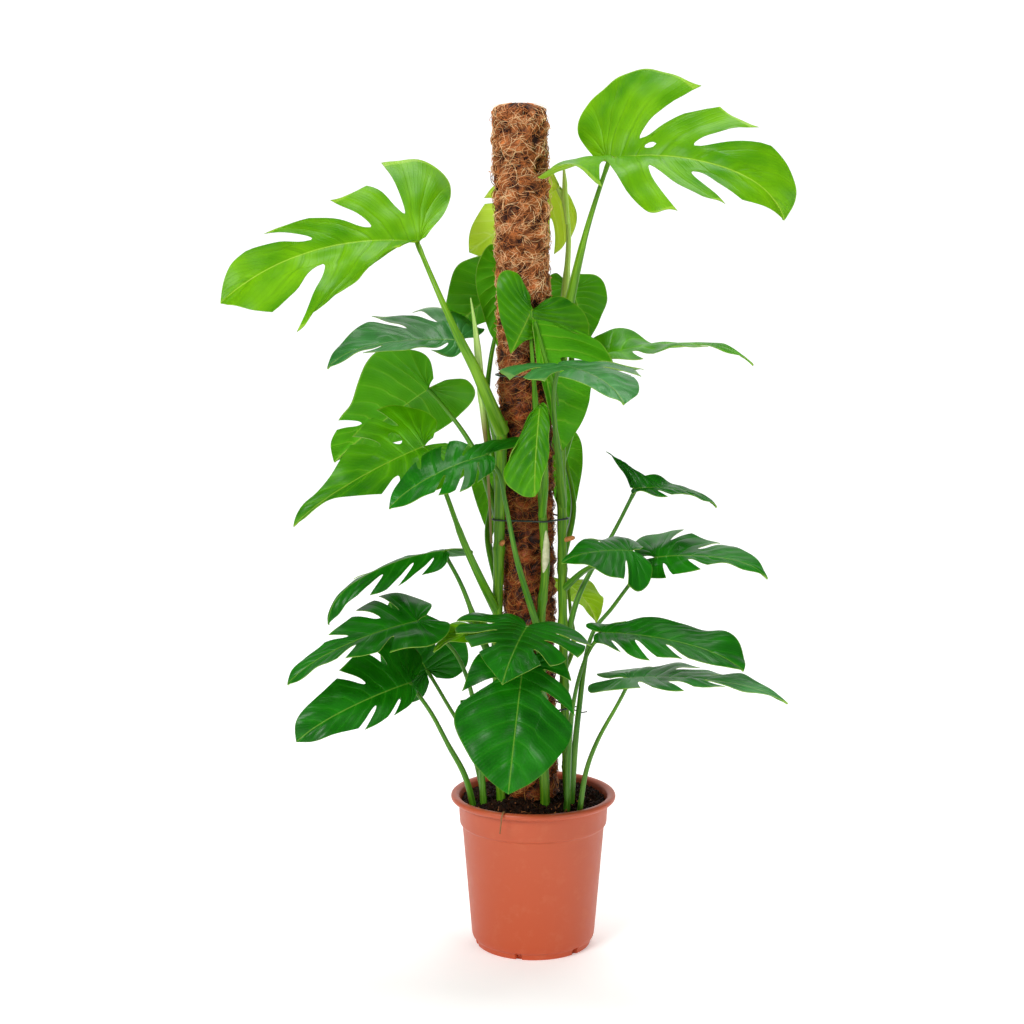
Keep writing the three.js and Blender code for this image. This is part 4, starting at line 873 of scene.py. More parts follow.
LEAVES: tuple[Leaf, ...] = (
    Leaf(
        "leaf_01", (-159, -40, 1020), (-424, -120, 939), (-0.1, -0.86, 0.5), (128, 140),
        ((-45, -38, 756), (-62, -66, 800), (-79, -80, 842), (-109, -88, 902), (-139, -72, 968)),
        tone=Tone.YOUNG, outline=("trailing", "shoulder"), taper=(0, 0), arc=30, hook=10, roll=(12, 16),
        fold=(50, 8), open=(16, 12), bend=-34,
        slits=((0.46, 1, 0.36), (0.63, 1, 0.34), (0.79, 0.26, 0.36)), sweep=2.2, gap=1.5,
        flare=0.8, point=0.05, stalk=(9, 3.2),
    ),
    Leaf(
        "leaf_02", (100, -30, 1132), (335, -110, 1049), (0.05, -0.42, 0.9), (142, 104),
        ((38, 0, 880), (53, -12, 953), (71, -20, 1030), (87, -26, 1084)), tone=Tone.YOUNG,
        outline=("blunt", "broad"), arc=52, hook=44, fold=(50, 28), open=(42, -18), sweep=1.8, bend=-8,
        slits=((0.44, 1, 0.45), (0.54, 0.24, 1), (0.6, 1, 0.36), (0.72, 0.3, 0.42)), gap=1.5, flare=0.8,
        point=0.06, stalk=(9, 3),
        holes=((1, 0.47, 0.22, 0.016, 0.12), (-1, 0.6, 0.17, 0.022, 0.055)),
    ),
    Leaf(
        "leaf_03", (37, 64, 1097), (-94, 120, 1004), (0.3, 0.9, 0.3), (70, 84),
        ((38, 0, 850), (44, 50, 930), (50, 60, 1029), (46, 62, 1068)), tone=Tone.NEWEST,
        outline=("slim", "slim"), arc=16, slits=((0.4, 0.45, 0.45), (0.53, 0.4, 0.4), (0.67, 0.5, 0.5)),
        stalk=(8, 3), bud="new_leaf_top",
    ),
    Leaf(
        "leaf_04", (-42, 84, 958), (-130, 124, 878), (0.1, 0.75, 0.6), (66, 44),
        ((-47, -36, 680), (-68, 6, 760), (-62, 62, 850), (-50, 80, 908)), arc=20,
    ),
    Leaf(
        "leaf_05", (56, 84, 955), (80, 130, 870), (0.2, 0.85, 0.4), (40, 46),
        ((37, -6, 765), (54, 44, 850), (58, 74, 920)), arc=16,
    ),
    Leaf(
        "leaf_06", (-3, -52, 928), (-33, -60, 867), (0.1, -1, 0.05), (104, 60),
        ((10, -52, 684), (4, -58, 760), (1, -54, 808), (-4, -51, 886)), outline=("dome", "spoon"),
        taper=(0, 0),
        arc=16, hook=10, roll=(30, 24), fold=(-10, 2), ripple=1.5, stalk=(5, 2.6),
    ),
    Leaf(
        "leaf_07", (0, -60, 914), (39, -52, 730), (-0.1, 0.95, 0.1), (10, 98),
        ((38, -20, 712), (34, -38, 790), (14, -54, 866)), outline=("slim", "drooping"), arc=10,
        roll=(10, 14),
        fold=(-20, 6), slits=((0.6, 1, 0.3),), gap=1.5, stalk=(5, 2.6),
    ),
    Leaf(
        "leaf_08", (31, -112, 856), (114, -250, 814), (0.05, -0.1, 1), (112, 84),
        ((40, -24, 650), (34, -62, 720), (28, -88, 770), (26, -104, 816)), tone=Tone.GREY,
        outline=("blunt", "broad"), arc=22, hook=24, fold=(5, 6),
        slits=((0.45, 0.45, 0.45), (0.6, 0.45, 0.45)),
        point=0.1,
    ),
    Leaf(
        "leaf_09", (104, 42, 860), (310, -8, 848), (0.05, -0.06, 1), (54, 56),
        ((39, -14, 715), (66, 30, 784), (90, 42, 836)), tone=Tone.MATURE, taper=(0.4, 0.15), arc=30,
        hook=34,
        fold=(44, 4), open=(-4, 2), slits=((0.5, 1, 0.45), (0.62, 0.5, 1), (0.72, 1, 0.5)),
    ),
    Leaf(
        "leaf_10", (7, -118, 802), (0, -136, 678), (-0.2, -0.95, 0.15), (20, 44),
        ((11, -52, 640), (15, -84, 690), (12, -108, 756)), outline=("slim", "teardrop"), taper=(0, 0),
        arc=20,
        roll=(22, 30), stalk=(5, 2.6),
    ),
    Leaf(
        "leaf_11", (44, 80, 722), (50, 104, 590), (0.1, 0.9, 0.35), (26, 26),
        ((40, -22, 570), (58, 34, 640), (48, 70, 700)), arc=24,
    ),
    Leaf(
        "leaf_12", (-54, 70, 700), (-62, 98, 584), (-0.15, 0.9, 0.35), (34, 34),
        ((-51, -28, 540), (-66, 26, 600), (-58, 60, 660)), arc=24,
    ),
    Leaf(
        "leaf_13", (-104, 14, 882), (-288, -50, 846), (0, -0.3, 1), (42, 92),
        ((-46, -36, 705), (-60, -14, 770), (-84, 6, 845)), tone=Tone.GREY, outline=("slim", "broad"),
        arc=22,
        hook=34, fold=(-30, 19), open=(10, 16), slits=((0.44, 0.2, 0.42), (0.6, 1, 0.42), (0.74, 0.5, 1)),
        flare=1.5, point=0.12,
    ),
    Leaf(
        "leaf_14", (-150, 48, 812), (-292, 80, 700), (0.1, 0.85, 0.45), (98, 74),
        ((-49, -32, 630), (-88, 20, 729), (-134, 46, 790)), outline=("blunt", "broad"), arc=16,
        fold=(0, 30),
        slits=((0.78, 0.4, 1),), gap=1.3, flare=0.3,
    ),
    Leaf(
        "leaf_15", (-153, -40, 737), (-334, -90, 630), (-0.1, -0.7, 0.7), (74, 92),
        ((-52, -24, 497), (-76, -56, 552), (-99, -62, 605), (-122, -58, 668), (-140, -50, 715)),
        outline=("broad", "blunt"), taper=(0.8, 0.6), arc=26, hook=14, fold=(8, 10),
        slits=((0.4, 1, 0.5), (0.54, 0.5, 0.42)),
        holes=((1, 0.47, 0.34, 0.026, 0.12),),
    ),
    Leaf(
        "leaf_16", (-67, -110, 732), (-196, -175, 667), (0.05, -0.5, 0.86), (56, 66),
        ((8, -52, 470), (-24, -82, 581), (-40, -98, 664), (-50, -106, 709)), tone=Tone.DARK,
        outline=("slim", "spurred"), arc=30, fold=(12, 2), gap=0.7, flare=0.2,
        slits=((0.46, 0.3, 1), (0.57, 0.3, 0.3), (0.68, 0.35, 0.3), (0.8, 1, 0.4)),
    ),
    Leaf(
        "leaf_17", (-126, -30, 587), (-288, -84, 490), (-0.15, -0.1, 1), (42, 60),
        ((-50, -22, 400), (-78, -30, 470), (-103, -34, 538)), tone=Tone.DARK, outline=("slim", "broad"),
        arc=40,
        hook=50, fold=(-38, -10), slits=((0.42, 0.3, 0.4), (0.54, 0.3, 0.4), (0.68, 0.4, 0.4)), flare=1.5,
    ),
    Leaf(
        "leaf_18", (-163, -90, 497), (-339, -150, 420), (-0.1, -0.45, 0.9), (66, 80),
        ((-70, -34, 190), (-84, -40, 360), (-108, -50, 437), (-140, -68, 476)), tone=Tone.DARK,
        outline=("blunt", "blunt"), taper=(0.3, 0.5), fold=(14, 8),
        slits=((0.4, 1, 0.4), (0.52, 0.45, 0.4), (0.68, 0.5, 0.5)), stalk=(5, 2.6),
    ),
    Leaf(
        "leaf_19", (-173, -70, 405), (-330, -130, 334), (-0.1, -0.72, 0.68), (44, 82),
        ((-82, -30, 190), (-98, -48, 262), (-122, -62, 313), (-147, -68, 363)), tone=Tone.DARK,
        outline=("slim", "blunt"), fold=(-8, 20), slits=((0.44, 0.45, 0.45), (0.6, 0.4, 0.4)),
        stalk=(5, 2.9),
    ),
    Leaf(
        "leaf_20", (-153, -10, 408), (-210, 34, 500), (-0.3, -0.85, 0.4), (62, 66),
        ((-66, -12, 190), (-88, -14, 290), (-130, -14, 370)), tone=Tone.DARK, arc=20,
        slits=((0.5, 0.45, 0.45),), stalk=(5, 2.6),
    ),
    Leaf(
        "leaf_21", (-16, -150, 449), (-36, -228, 288), (0, -0.85, 0.55), (86, 90),
        ((14, -48, 375), (2, -90, 415), (-6, -125, 440)), tone=Tone.DARK, arc=24, hook=10, fold=(4, 8),
        slits=((0.34, 0.4, 1), (0.44, 1, 0.42), (0.5, 0.36, 1)), outline=("shield", "shield"), gap=1.5,
        flare=0.5,
    ),
    Leaf(
        "leaf_22", (-10, -112, 494), (-44, -216, 436), (0, -0.55, 0.84), (88, 92),
        ((12, -48, 430), (4, -78, 466), (-4, -100, 486)), tone=Tone.DARK, arc=30, fold=(6, 6),
        slits=((0.4, 0.45, 0.45), (0.54, 0.4, 0.4), (0.68, 0.5, 0.5)),
    ),
    Leaf(
        "leaf_23", (-66, -80, 482), (-140, -114, 458), (0, -0.35, 0.93), (24, 36),
        ((-50, -22, 430), (-56, -46, 456), (-62, -68, 474)), tone=Tone.YOUNG, arc=40,
        slits=((0.5, 0.5, 0.5),),
        stalk=(4, 2),
    ),
    Leaf(
        "leaf_24", (143, 0, 671), (258, -40, 650), (0.1, -0.06, 1), (58, 30),
        ((46, -22, 452), (63, -18, 516), (92, -12, 573), (112, -8, 606)), tone=Tone.DARK,
        outline=("horned", "slim"), arc=30, hook=30, fold=(76, -6), open=(4, 0), roll=(10, 22),
        slits=((0.56, 1, 0.45),), stalk=(5, 2.6),
    ),
    Leaf(
        "leaf_25", (170, -60, 582), (321, -120, 562), (0, -0.15, 1), (72, 34),
        ((52, -34, 190), (64, -36, 350), (84, -12, 462), (112, -12, 500), (148, -40, 555)), tone=Tone.DARK,
        arc=26, hook=34, fold=(28, -36), open=(10, -10), slits=((0.42, 0.45, 0.3), (0.58, 0.45, 0.4)),
        stalk=(5, 2.6),
    ),
    Leaf(
        "leaf_26", (134, -112, 600), (36, -140, 587), (0, -0.2, 1), (60, 56),
        ((42, -25, 530), (72, -52, 562), (104, -88, 582)), tone=Tone.DARK, arc=24, fold=(-30, 10),
        open=(-10, 10), slits=((0.46, 0.3, 1), (0.6, 1, 0.5)), stalk=(5, 2.6),
    ),
    Leaf(
        "leaf_27", (92, -100, 483), (284, -170, 444), (0, -0.22, 0.97), (43, 64),
        ((46, -66, 190), (56, -78, 379), (76, -92, 454)), tone=Tone.DARK, outline=("late", "slim"),
        taper=(0, 0.15), arc=24, roll=(10, 22), fold=(10, 4), open=(20, 4),
        slits=((0.36, 0.5, 1), (0.42, 1, 0.45), (0.55, 1, 0.42), (0.68, 1, 0.45)), stalk=(5, 2.6),
    ),
    Leaf(
        "leaf_28", (133, -90, 416), (346, -162, 397), (0, -0.1, 1), (58, 42),
        ((62, -74, 190), (74, -78, 277), (90, -82, 324), (118, -86, 378)), tone=Tone.GREY, arc=22, hook=16,
        fold=(8, 5), slits=((0.42, 0.45, 0.45), (0.55, 0.42, 0.42), (0.68, 0.5, 0.45)), stalk=(5, 2.6),
    ),
    Leaf(
        "leaf_29", (50, 62, 524), (96, 110, 454), (0.2, 0.4, 0.9), (42, 42),
        ((44, -20, 410), (58, 14, 440), (54, 48, 490)), tone=Tone.YOUNG, arc=34, stalk=(4, 2.4),
    ),
    Leaf(
        "leaf_30", (-43, 46, 986), (-51, 50, 868), (-0.2, 0.95, 0.1), (36, 30),
        ((37, -10, 800), (38, 24, 828), (20, 50, 884), (-18, 48, 950)), outline=("broad", "broad"), arc=14,
        stalk=(5, 2.6),
    ),
)

# rolled young leaves: the way from foot to point, and radii at even shares of it
BUDS: dict[str, tuple[tuple[Point, ...], tuple[float, ...]]] = {
    "new_leaf_left": (
        (
            (-60, -34, 598), (-66, -45, 723), (-70, -50, 769), (-78, -60, 870), (-82, -60, 905),
            (-88, -60, 944),
        ),
        (1.8, 2, 2.4, 5.5, 5, 0.8),
    ),
    "new_leaf_top": (
        ((48, 56, 1045), (45, 60, 1078), (44, 61, 1105), (42, 62, 1134)),
        (3, 5, 3.4, 0.6),
    ),
}


@dataclass
class Blade:
    """Blade of a leaf as a fine grid over its bent, slit halves, and its stalk.

    Depths and widths are in millimetres, but vein_spacing is a share of the outline and vein_width a
    share of that spacing. Of the stalk, wing, channel and knuckle are shares of its radius, and where
    the first two end and the third sits are shares of its length.
    """

    leaf: Leaf
    thickness: float = 0.9
    rib_depth: float = 1.5
    rib_width: float = 2.2
    rib_groove_width: float = 2.4
    vein_spacing: float = 0.085
    vein_width: float = 0.07
    groove: float = 0.46
    swell: float = 0.8
    sway: float = 1.5
    sway_waves: Pair = (34, 95)
    sway_from: float = 16
    inner_rows: int = 9
    outer_rows: int = 11
    weld: float = 0.02
    stalk_steps: int = 44
    stalk_sides: int = 14
    wing: float = 0.22
    wing_end: float = 0.56
    channel: float = 0.14
    channel_end: float = 0.9
    knuckle: float = 0.22
    knuckle_at: float = 0.965

    def __post_init__(self) -> None:
        """Works out the frame of the blade: its length along the bent midrib and its directions."""
        attach = np.array(self.leaf.attach, dtype=float)
        chord = np.array(self.leaf.tip, dtype=float) - attach
        ahead, up = self.spine(np.array(1.0))
        self.length = float(np.linalg.norm(chord) / np.hypot(ahead, up))
        drop = math.atan2(-up, ahead)
        chord = unit(chord)
        facing = np.array(self.leaf.facing, dtype=float)
        facing = unit(facing - chord * (facing @ chord))
        self.attach = attach
        self.tangent = chord * math.cos(drop) + facing * math.sin(drop)
        self.normal = facing * math.cos(drop) - chord * math.sin(drop)
        self.across = np.cross(chord, facing)

    def angle(self, share: Array) -> Array:
        """Bend of the spine in radians: arc · share + hook · late², late from the start of the hook."""
        late = np.maximum(0, (share - HOOK_START) / (1 - HOOK_START))
        return DEG * (self.leaf.arc * share + self.leaf.hook * late * late)

    def spine(self, share: Array) -> tuple[Array, Array]:
        """Way ahead and drop of a unit spine: the sums of cos and -sin of its bend.

        Args:
            share: Share of the length.

        Returns:
            Distance ahead and height.
        """
        steps = 24
        middle = (np.arange(steps) + 0.5) / steps
        bend = self.angle(np.asarray(share)[..., None] * middle)
        return (np.cos(bend).mean(axis=-1) * share, -np.sin(bend).mean(axis=-1) * share)

    def outline(self, half: int, q: Array) -> tuple[Array, Array]:
        """Half outline: a Catmull-Rom curve through its ten points.

        Args:
            half: 0 left, 1 right.
            q: Place, from 0 at the stalk to 1 at the tip.

        Returns:
            Distance out in half widths and distance along in lengths.
        """
        given = np.array(OUTLINES[self.leaf.outline[half]])
        place = np.minimum(q, 0.99999) * (len(given) - 1)
        i = np.floor(place).astype(int)
        f = (place - i)[..., None]
        a, b, c, d = (given[np.clip(i + k, 0, len(given) - 1)] for k in (-1, 0, 1, 2))
        curve = b + 0.5 * f * (c - a + f * (2 * a - 5 * b + 4 * c - d + f * (3 * (b - c) + d - a)))
        return curve[..., 0], curve[..., 1]

    def place(self, side: int, q: Array, s: Array) -> tuple[Array, Array]:
        """Points of the blade.

        A side vein runs from the midrib to the outline point q as a bent line, s being the share of
        the way. The half is rolled to an arc, folded up or down about the midrib, rippled at its
        margin, and laid along the bent spine, which may also curve aside.

        Args:
            side: -1 left, 1 right.
            q: Place on the outline.
            s: Share from the midrib to the margin.

        Returns:
            Points, and their distance from the midrib.
        """
        leaf, half = self.leaf, (1 if side > 0 else 0)
        ox, oy = self.outline(half, q)
        tapered = 1 - leaf.taper[half] * ease((oy - TAPER_FROM) / TAPER_OVER)
        x_edge = ox * tapered * leaf.width[half]
        y_edge = oy * self.length
        y_vein = self.length * np.maximum(0, (q - VEIN_FAN) / (1 - VEIN_FAN)) ** leaf.sweep
        y_bend = y_vein + VEIN_BEND * (y_edge - y_vein)
        x = s * (1 - s) * x_edge + s * s * x_edge
        y = (1 - s) ** 2 * y_vein + 2 * s * (1 - s) * y_bend + s * s * y_edge
        radius = leaf.width[half] / (leaf.roll[half] * DEG)
        out_flat = radius * np.sin(x / radius)
        up_flat = -radius * (1 - np.cos(x / radius))
        share = y / self.length
        opened = leaf.open[half] if leaf.open else leaf.fold[half]
        fold = (leaf.fold[half] + (opened - leaf.fold[half]) * ease(share / OPEN_BY)) * DEG
        out = out_flat * np.cos(fold) - up_flat * np.sin(fold)
        ripple = leaf.ripple * s * s * np.sin(2 * np.pi * RIPPLE_WAVES * q + side)
        up = out_flat * np.sin(fold) + up_flat * np.cos(fold) + ripple * np.minimum(1, 2 * ox)
        bend = leaf.bend * DEG
        yaw = bend * (share - 0.5)
        aside = 0.5 * bend * (share * share - share) * self.length + side * out * np.cos(yaw)
        ahead, drop = self.spine(share - side * out * np.sin(yaw) / self.length)
        angle = self.angle(share)
        points = (
            self.attach
            + aside[..., None] * self.across
            + (ahead * self.length + up * np.sin(angle))[..., None] * self.tangent
            + (drop * self.length + up * np.cos(angle))[..., None] * self.normal
        )
        return points, x

    def finger(self, near: Pair, far: Pair) -> tuple[Array, Array, Array]:
        """Grid of one finger, the part of a half between two slits.

        Rows first run from the midrib to where the slits start, then out between them. A slit's half
        gap opens with a round end; the edge nearer the tip is hollowed, the other nearly straight.

        Args:
            near: Place and depth of the slit nearer the stalk.
            far: Place and depth of the slit nearer the tip.

        Returns:
            Arrays of q, s and the phase between side veins, columns by rows.
        """
        leaf = self.leaf
        veins = max(1, round((far[0] - near[0]) / self.vein_spacing))
        within = np.array([0, 0.12, 0.27, 0.39, 0.46, 0.5, 0.54, 0.61, 0.73, 0.88])
        c = np.append((np.arange(veins)[:, None] + within).ravel() / veins, 1)[:, None]
        near_open, far_open = near[1] < NO_SLIT, far[1] < NO_SLIT
        near_row = near[1] if near_open else CALM_ROW
        far_row = far[1] if far_open else CALM_ROW
        start = near_row + (far_row - near_row) * c
        q_plain = near[0] + (far[0] - near[0]) * c
        inside = np.arange(self.inner_rows) / self.inner_rows
        t = (np.arange(self.outer_rows + 1) / self.outer_rows) ** 1.25
        end = 1 - np.minimum(1, t / SLIT_ROUND_END)
        gap = SLIT_HALF_GAP * leaf.gap * np.sqrt(1 - end * end) * (0.75 + 0.25 * t)
        first = near[0] + (gap * (1 + leaf.flare * t * t) if near_open else 0 * t)
        last = far[0] - (SLIT_STRAIGHT_SIDE * gap if far_open else 0 * t)
        rounding = leaf.round * (1 - c) ** 3 if near_open else 0 * c
        point = leaf.point * c**4 if far_open else 0 * c
        q = np.concatenate([q_plain + 0 * inside, first + (last - first) * c], axis=1)
        s = np.concatenate([start * inside, start + (1 - rounding + point - start) * t], axis=1)
        return q, s, np.broadcast_to(c * veins, q.shape)

    def pierced(self, side: int, q: Array, s: Array) -> tuple[Array, Array, Array]:
        """Opens the natural holes of a half: corners on the rim of a hole are moved onto its ellipse.

        Args:
            side: -1 left, 1 right.
            q: Places on the outline, columns by rows.
            s: Shares from the midrib to the margin.

        Returns:
            The moved q and s, and which cells are left, those outside every hole.
        """
        whole = np.ones((q.shape[0] - 1, q.shape[1] - 1), dtype=bool)
        for hole_side, hole_q, hole_s, reach_q, reach_s in self.leaf.holes:
            if hole_side == side:
                off = np.hypot((q - hole_q) / reach_q, (s - hole_s) / reach_s)
                cut = off[:-1, :-1] + off[:-1, 1:] + off[1:, 1:] + off[1:, :-1] < 4
                wide = np.pad(cut, 1).astype(int)
                around = wide[:-1, :-1] + wide[:-1, 1:] + wide[1:, 1:] + wide[1:, :-1]
                pull = np.where((around > 0) & (around < 4), 1 / np.maximum(off, 0.3), 1)
                q, s = hole_q + (q - hole_q) * pull, hole_s + (s - hole_s) * pull
                whole &= ~cut
        return q, s, whole

    def patch(self, side: int, near: Pair, far: Pair, start: int) -> tuple[Array, ...]:
        """One finger in its place, with its relief.

        The relief sinks at the midrib and along the side veins, and swells between them:
        -groove · exp(-(d / vein_width)²) and swell · cos²(πd') · 4s(1 - s), d being the distance from a
        vein in vein spacings and d' that from the middle of a panel.

        Args:
            side: -1 left, 1 right.
            near: Place and depth of the slit nearer the stalk.
            far: Place and depth of the slit nearer the tip.
            start: Number of the first point.

        Returns:
            Points, their uv, their distance from the midrib, their relief and the triangles.
        """
        q, s, phase = self.finger(near, far)
        q, s, whole = self.pierced(side, q, s)
        points, x = self.place(side, q, s)
        apart = np.abs(phase % 1 - 0.5)
        calm = np.sqrt(np.clip(1 - s, 0, 1))
        relief = self.swell * np.sin(np.pi * apart) ** 2 * 4 * s * np.clip(1 - s, 0, 1)
        relief = relief - self.groove * np.exp(-((apart / self.vein_width) ** 2)) * calm
        relief = relief - self.groove * np.exp(-((x / self.rib_groove_width) ** 2))
        index = start + np.arange(q.size).reshape(q.shape)
        quads = np.stack([index[:-1, :-1], index[:-1, 1:], index[1:, 1:], index[1:, :-1]], axis=-1)[whole]
        faces = np.concatenate([quads[:, [0, 1, 2]], quads[:, [0, 2, 3]]])
        uv = np.stack([side * s, phase], axis=-1).reshape(-1, 2)
        return points.reshape(-1, 3), uv, x.ravel(), relief.ravel(), faces if side > 0 else faces[:, ::-1]

    def surface(self) -> Surface:
        """Lays the fingers of both halves and closes the blade.

        Returns:
            Upper face in finish 0, lower face in 1 and the thin edge in 2, with the mark "rib", the
            distance from the midrib.
        """
        patches: list[tuple[Array, ...]] = []
        start = 0
        for side in (-1, 1):
            slits = [(slit[0], slit[2] if side > 0 else slit[1]) for slit in self.leaf.slits]
            marks = [(0.0, NO_SLIT), *slits, (1.0, NO_SLIT)]
            for near, far in zip(marks[:-1], marks[1:]):
                patches.append(self.patch(side, near, far, start))
                start += len(patches[-1][0])
        return self.closed(*(np.concatenate(arrays) for arrays in zip(*patches)))

    def closed(self, points: Array, uv: Array, out: Array, relief: Array, faces: Array) -> Surface:
        """Merges the patches where they meet and gives the sheet its two faces and its edge.

        Upper and lower face lie half the thickness to either side of the middle surface. The whole
        sways softly by a sum of sines away from the midrib, which stands out below by its own depth:
        rib_depth · exp(-(x / rib_width)²). Edges that a single triangle has are the margin.

        Args:
            points: Points of all patches.
            uv: Their uv.
            out: Their distance from the midrib.
            relief: Their height off the middle surface.
            faces: Triangles of the upper face.

        Returns:
            The closed blade.
        """
        cells = np.round(points / self.weld).astype(int)
        _, kept, merged = np.unique(cells, axis=0, return_index=True, return_inverse=True)
        spots = points[kept]
        corner = merged.ravel()[faces]
        whole = (corner != np.roll(corner, -1, axis=1)).all(axis=1)
        corner, faces = corner[whole], faces[whole]
        a, b, c = (spots[corner[:, k]] for k in range(3))
        facing = np.repeat(np.cross(b - a, c - a), 3, axis=0)
        sums = [np.bincount(corner.ravel(), facing[:, axis], len(spots)) for axis in range(3)]
        normal = unit(np.stack(sums, axis=1))
        sway = self.sway * waves(np.random.default_rng(SEED), spots, self.sway_waves, 16)
        x = out[kept]
        height = (relief[kept] + sway * ease(x / self.sway_from))[:, None]
        below = self.rib_depth * np.exp(-((x[:, None] / self.rib_width) ** 2))
        upper = spots + normal * (height + self.thickness / 2)
        lower = spots + normal * (height - self.thickness / 2 - below)
        count = len(spots)
        edge = np.concatenate([corner[:, [0, 1]], corner[:, [1, 2]], corner[:, [2, 0]]])
        edge_uv = np.concatenate([faces[:, [0, 1]], faces[:, [1, 2]], faces[:, [2, 0]]])
        lone = np.isin(edge[:, 1] * count + edge[:, 0], edge[:, 0] * count + edge[:, 1], invert=True)
        (p, q), (pu, qu) = edge[lone].T, edge_uv[lone].T
        triangles = np.concatenate([
            corner,
            corner[:, ::-1] + count,
            np.stack([q, p, p + count], axis=1),
            np.stack([q, p + count, q + count], axis=1),
        ])
        source = np.concatenate([
            faces,
            faces[:, ::-1],
            np.stack([qu, pu, pu], axis=1),
            np.stack([qu, pu, qu], axis=1),
        ])
        finish = np.repeat([0, 1, 2], [len(corner), len(corner), 2 * len(p)])
        return Surface(np.concatenate([upper, lower]), triangles, uv[source], finish, {"rib": np.tile(x, 2)})

    def stalk(self) -> Surface:
        """Stalk from its foot to the knuckle under the blade.

        The radius is neck + (base - neck)(1 - share)^sheath. Up to the sheath's end a wing widens the
        section to either side and stops with a small step, a groove runs up the inner side, and the
        knuckle below the blade is a little thicker.

        Returns:
            The closed stalk in finish 3.
        """
        base, neck = self.leaf.stalk
        knuckle = self.attach + self.tangent * neck - self.normal * NECK_SINK * neck
        path = curved((*self.leaf.route, tuple(knuckle)), self.stalk_steps)
        share = np.linspace(0, 1, len(path))[:, None]
        turn = 2 * np.pi * np.arange(self.stalk_sides) / self.stalk_sides
        radius = neck + (base - neck) * (1 - share) ** self.leaf.sheath
        wing = self.wing * ease((self.wing_end - share) / 0.03) * np.cos(turn) ** 2
        inner = np.exp(-(((turn - np.pi / 2) / 0.5) ** 2))
        channel = self.channel * ease((self.channel_end - share) / 0.1) * inner
        swelling = self.knuckle * np.exp(-(((share - self.knuckle_at) / 0.022) ** 2))
        return tube(path, radius * (1 + wing - channel + swelling), self.stalk_sides, finish=3)


@dataclass
class Foliage:
    """All the leaves, and the rolled young ones.

    The edge of a roll winds up it in as many coils as given, and stands out by a share of the radius.
    """

    coils: float = 1.5
    loose_edge: float = 0.16
    steps: int = 60
    sides: int = 20

    def finishes(self) -> dict[Tone, list[Material]]:
        """Materials of each tone.

        Returns:
            For each tone the upper face, the lower face, the edge and the stalk.
        """
        edge = PlainFinish("leaf_margin", "#6c9c1c", "#90b43c", 0.5).material()
        return {
            tone: [UPPER_FACES[tone].material(), LOWER_FACES[tone].material(), edge, RINDS[tone].material()]
            for tone in Tone
        }

    def rolled(self, name: str, finish: int) -> Surface:
        """Rolled young leaf on its stalk: the radius at a share · (1 - edge / 2 + edge · wound).

        wound is the fractional part of turn - coils · share, so the section has one step, where the
        last coil ends.

        Args:
            name: Name of the roll.
            finish: Material number.

        Returns:
            The closed roll.
        """
        route, radii = BUDS[name]
        path = curved(route, self.steps)
        share = np.linspace(0, 1, len(path))
        turn = np.arange(self.sides) / self.sides
        reach = np.interp(share, np.linspace(0, 1, len(radii)), radii)[:, None]
        wound = (turn[None] - self.coils * share[:, None]) % 1
        return tube(path, reach * (1 - self.loose_edge / 2 + self.loose_edge * wound), self.sides, finish)

    def build(self) -> list[Piece]:
        """Builds and dresses every leaf and the rolled one on the left, and returns them."""
        finishes = self.finishes()
        pieces = []
        for leaf in LEAVES:
            blade = Blade(leaf)
            parts = [blade.surface(), blade.stalk()]
            if leaf.bud:
                parts.append(self.rolled(leaf.bud, finish=3))
            name = f"monstera_{leaf.name}"
            pieces.append(put(name, joined(parts), finishes[leaf.tone], (leaf.name,), 50))
        rind = StalkFinish("rolled_leaf_rind", "#90bc50", "#c0dc80", "#6c3c20", 0.06, dried=200).material()
        roll = self.rolled("new_leaf_left", finish=0)
        pieces.append(put("monstera_new_leaf_left", roll, [rind], ("new_leaf_left",), 60))
        return pieces


# Stems, pole and ties

STEM_CUTS = 200


@dataclass(frozen=True)
class Stem:
    """One stem: its way up from the soil, radii, joints where leaves sat, and stubs of old stalks."""

    name: str
    route: tuple[Point, ...]
    radius: Pair
    nodes: tuple[float, ...]
    stubs: tuple[tuple[Point, Point], ...] = ()

    def at(self, height: float) -> tuple[Array, float]:
        """Centre and bare radius at a height.

        Args:
            height: Height of the wanted point.

        Returns:
            The centre, and the radius there.
        """
        path = curved(self.route, STEM_CUTS)
        k = min(int(np.searchsorted(path[:, 2], height)), STEM_CUTS)
        return path[k], self.radius[0] + (self.radius[1] - self.radius[0]) * k / STEM_CUTS


STEMS: tuple[Stem, ...] = (
    Stem(
        "stem_left",
        (
            (-46, -22, 190), (-50, -22, 300), (-52, -24, 484), (-50, -30, 570), (-48, -36, 658),
            (-45, -38, 772),
        ),
        (6.5, 8), (340, 450, 590, 690), (((-48, -32, 594), (-43, -46, 602)),),
    ),
    Stem(
        "stem_centre",
        ((18, -48, 190), (13, -48, 330), (10, -48, 489), (16, -48, 565), (12, -50, 640), (10, -52, 690)),
        (7, 5.5), (300, 410, 520, 600),
    ),
    Stem(
        "stem_right",
        (
            (50, -18, 190), (46, -22, 330), (41, -25, 506), (40, -24, 611), (38, -18, 743), (38, -4, 850),
            (38, 2, 905),
        ),
        (6, 7), (270, 390, 480, 560, 660, 760), (((40, -24, 600), (57, -34, 606)),),
    ),
)


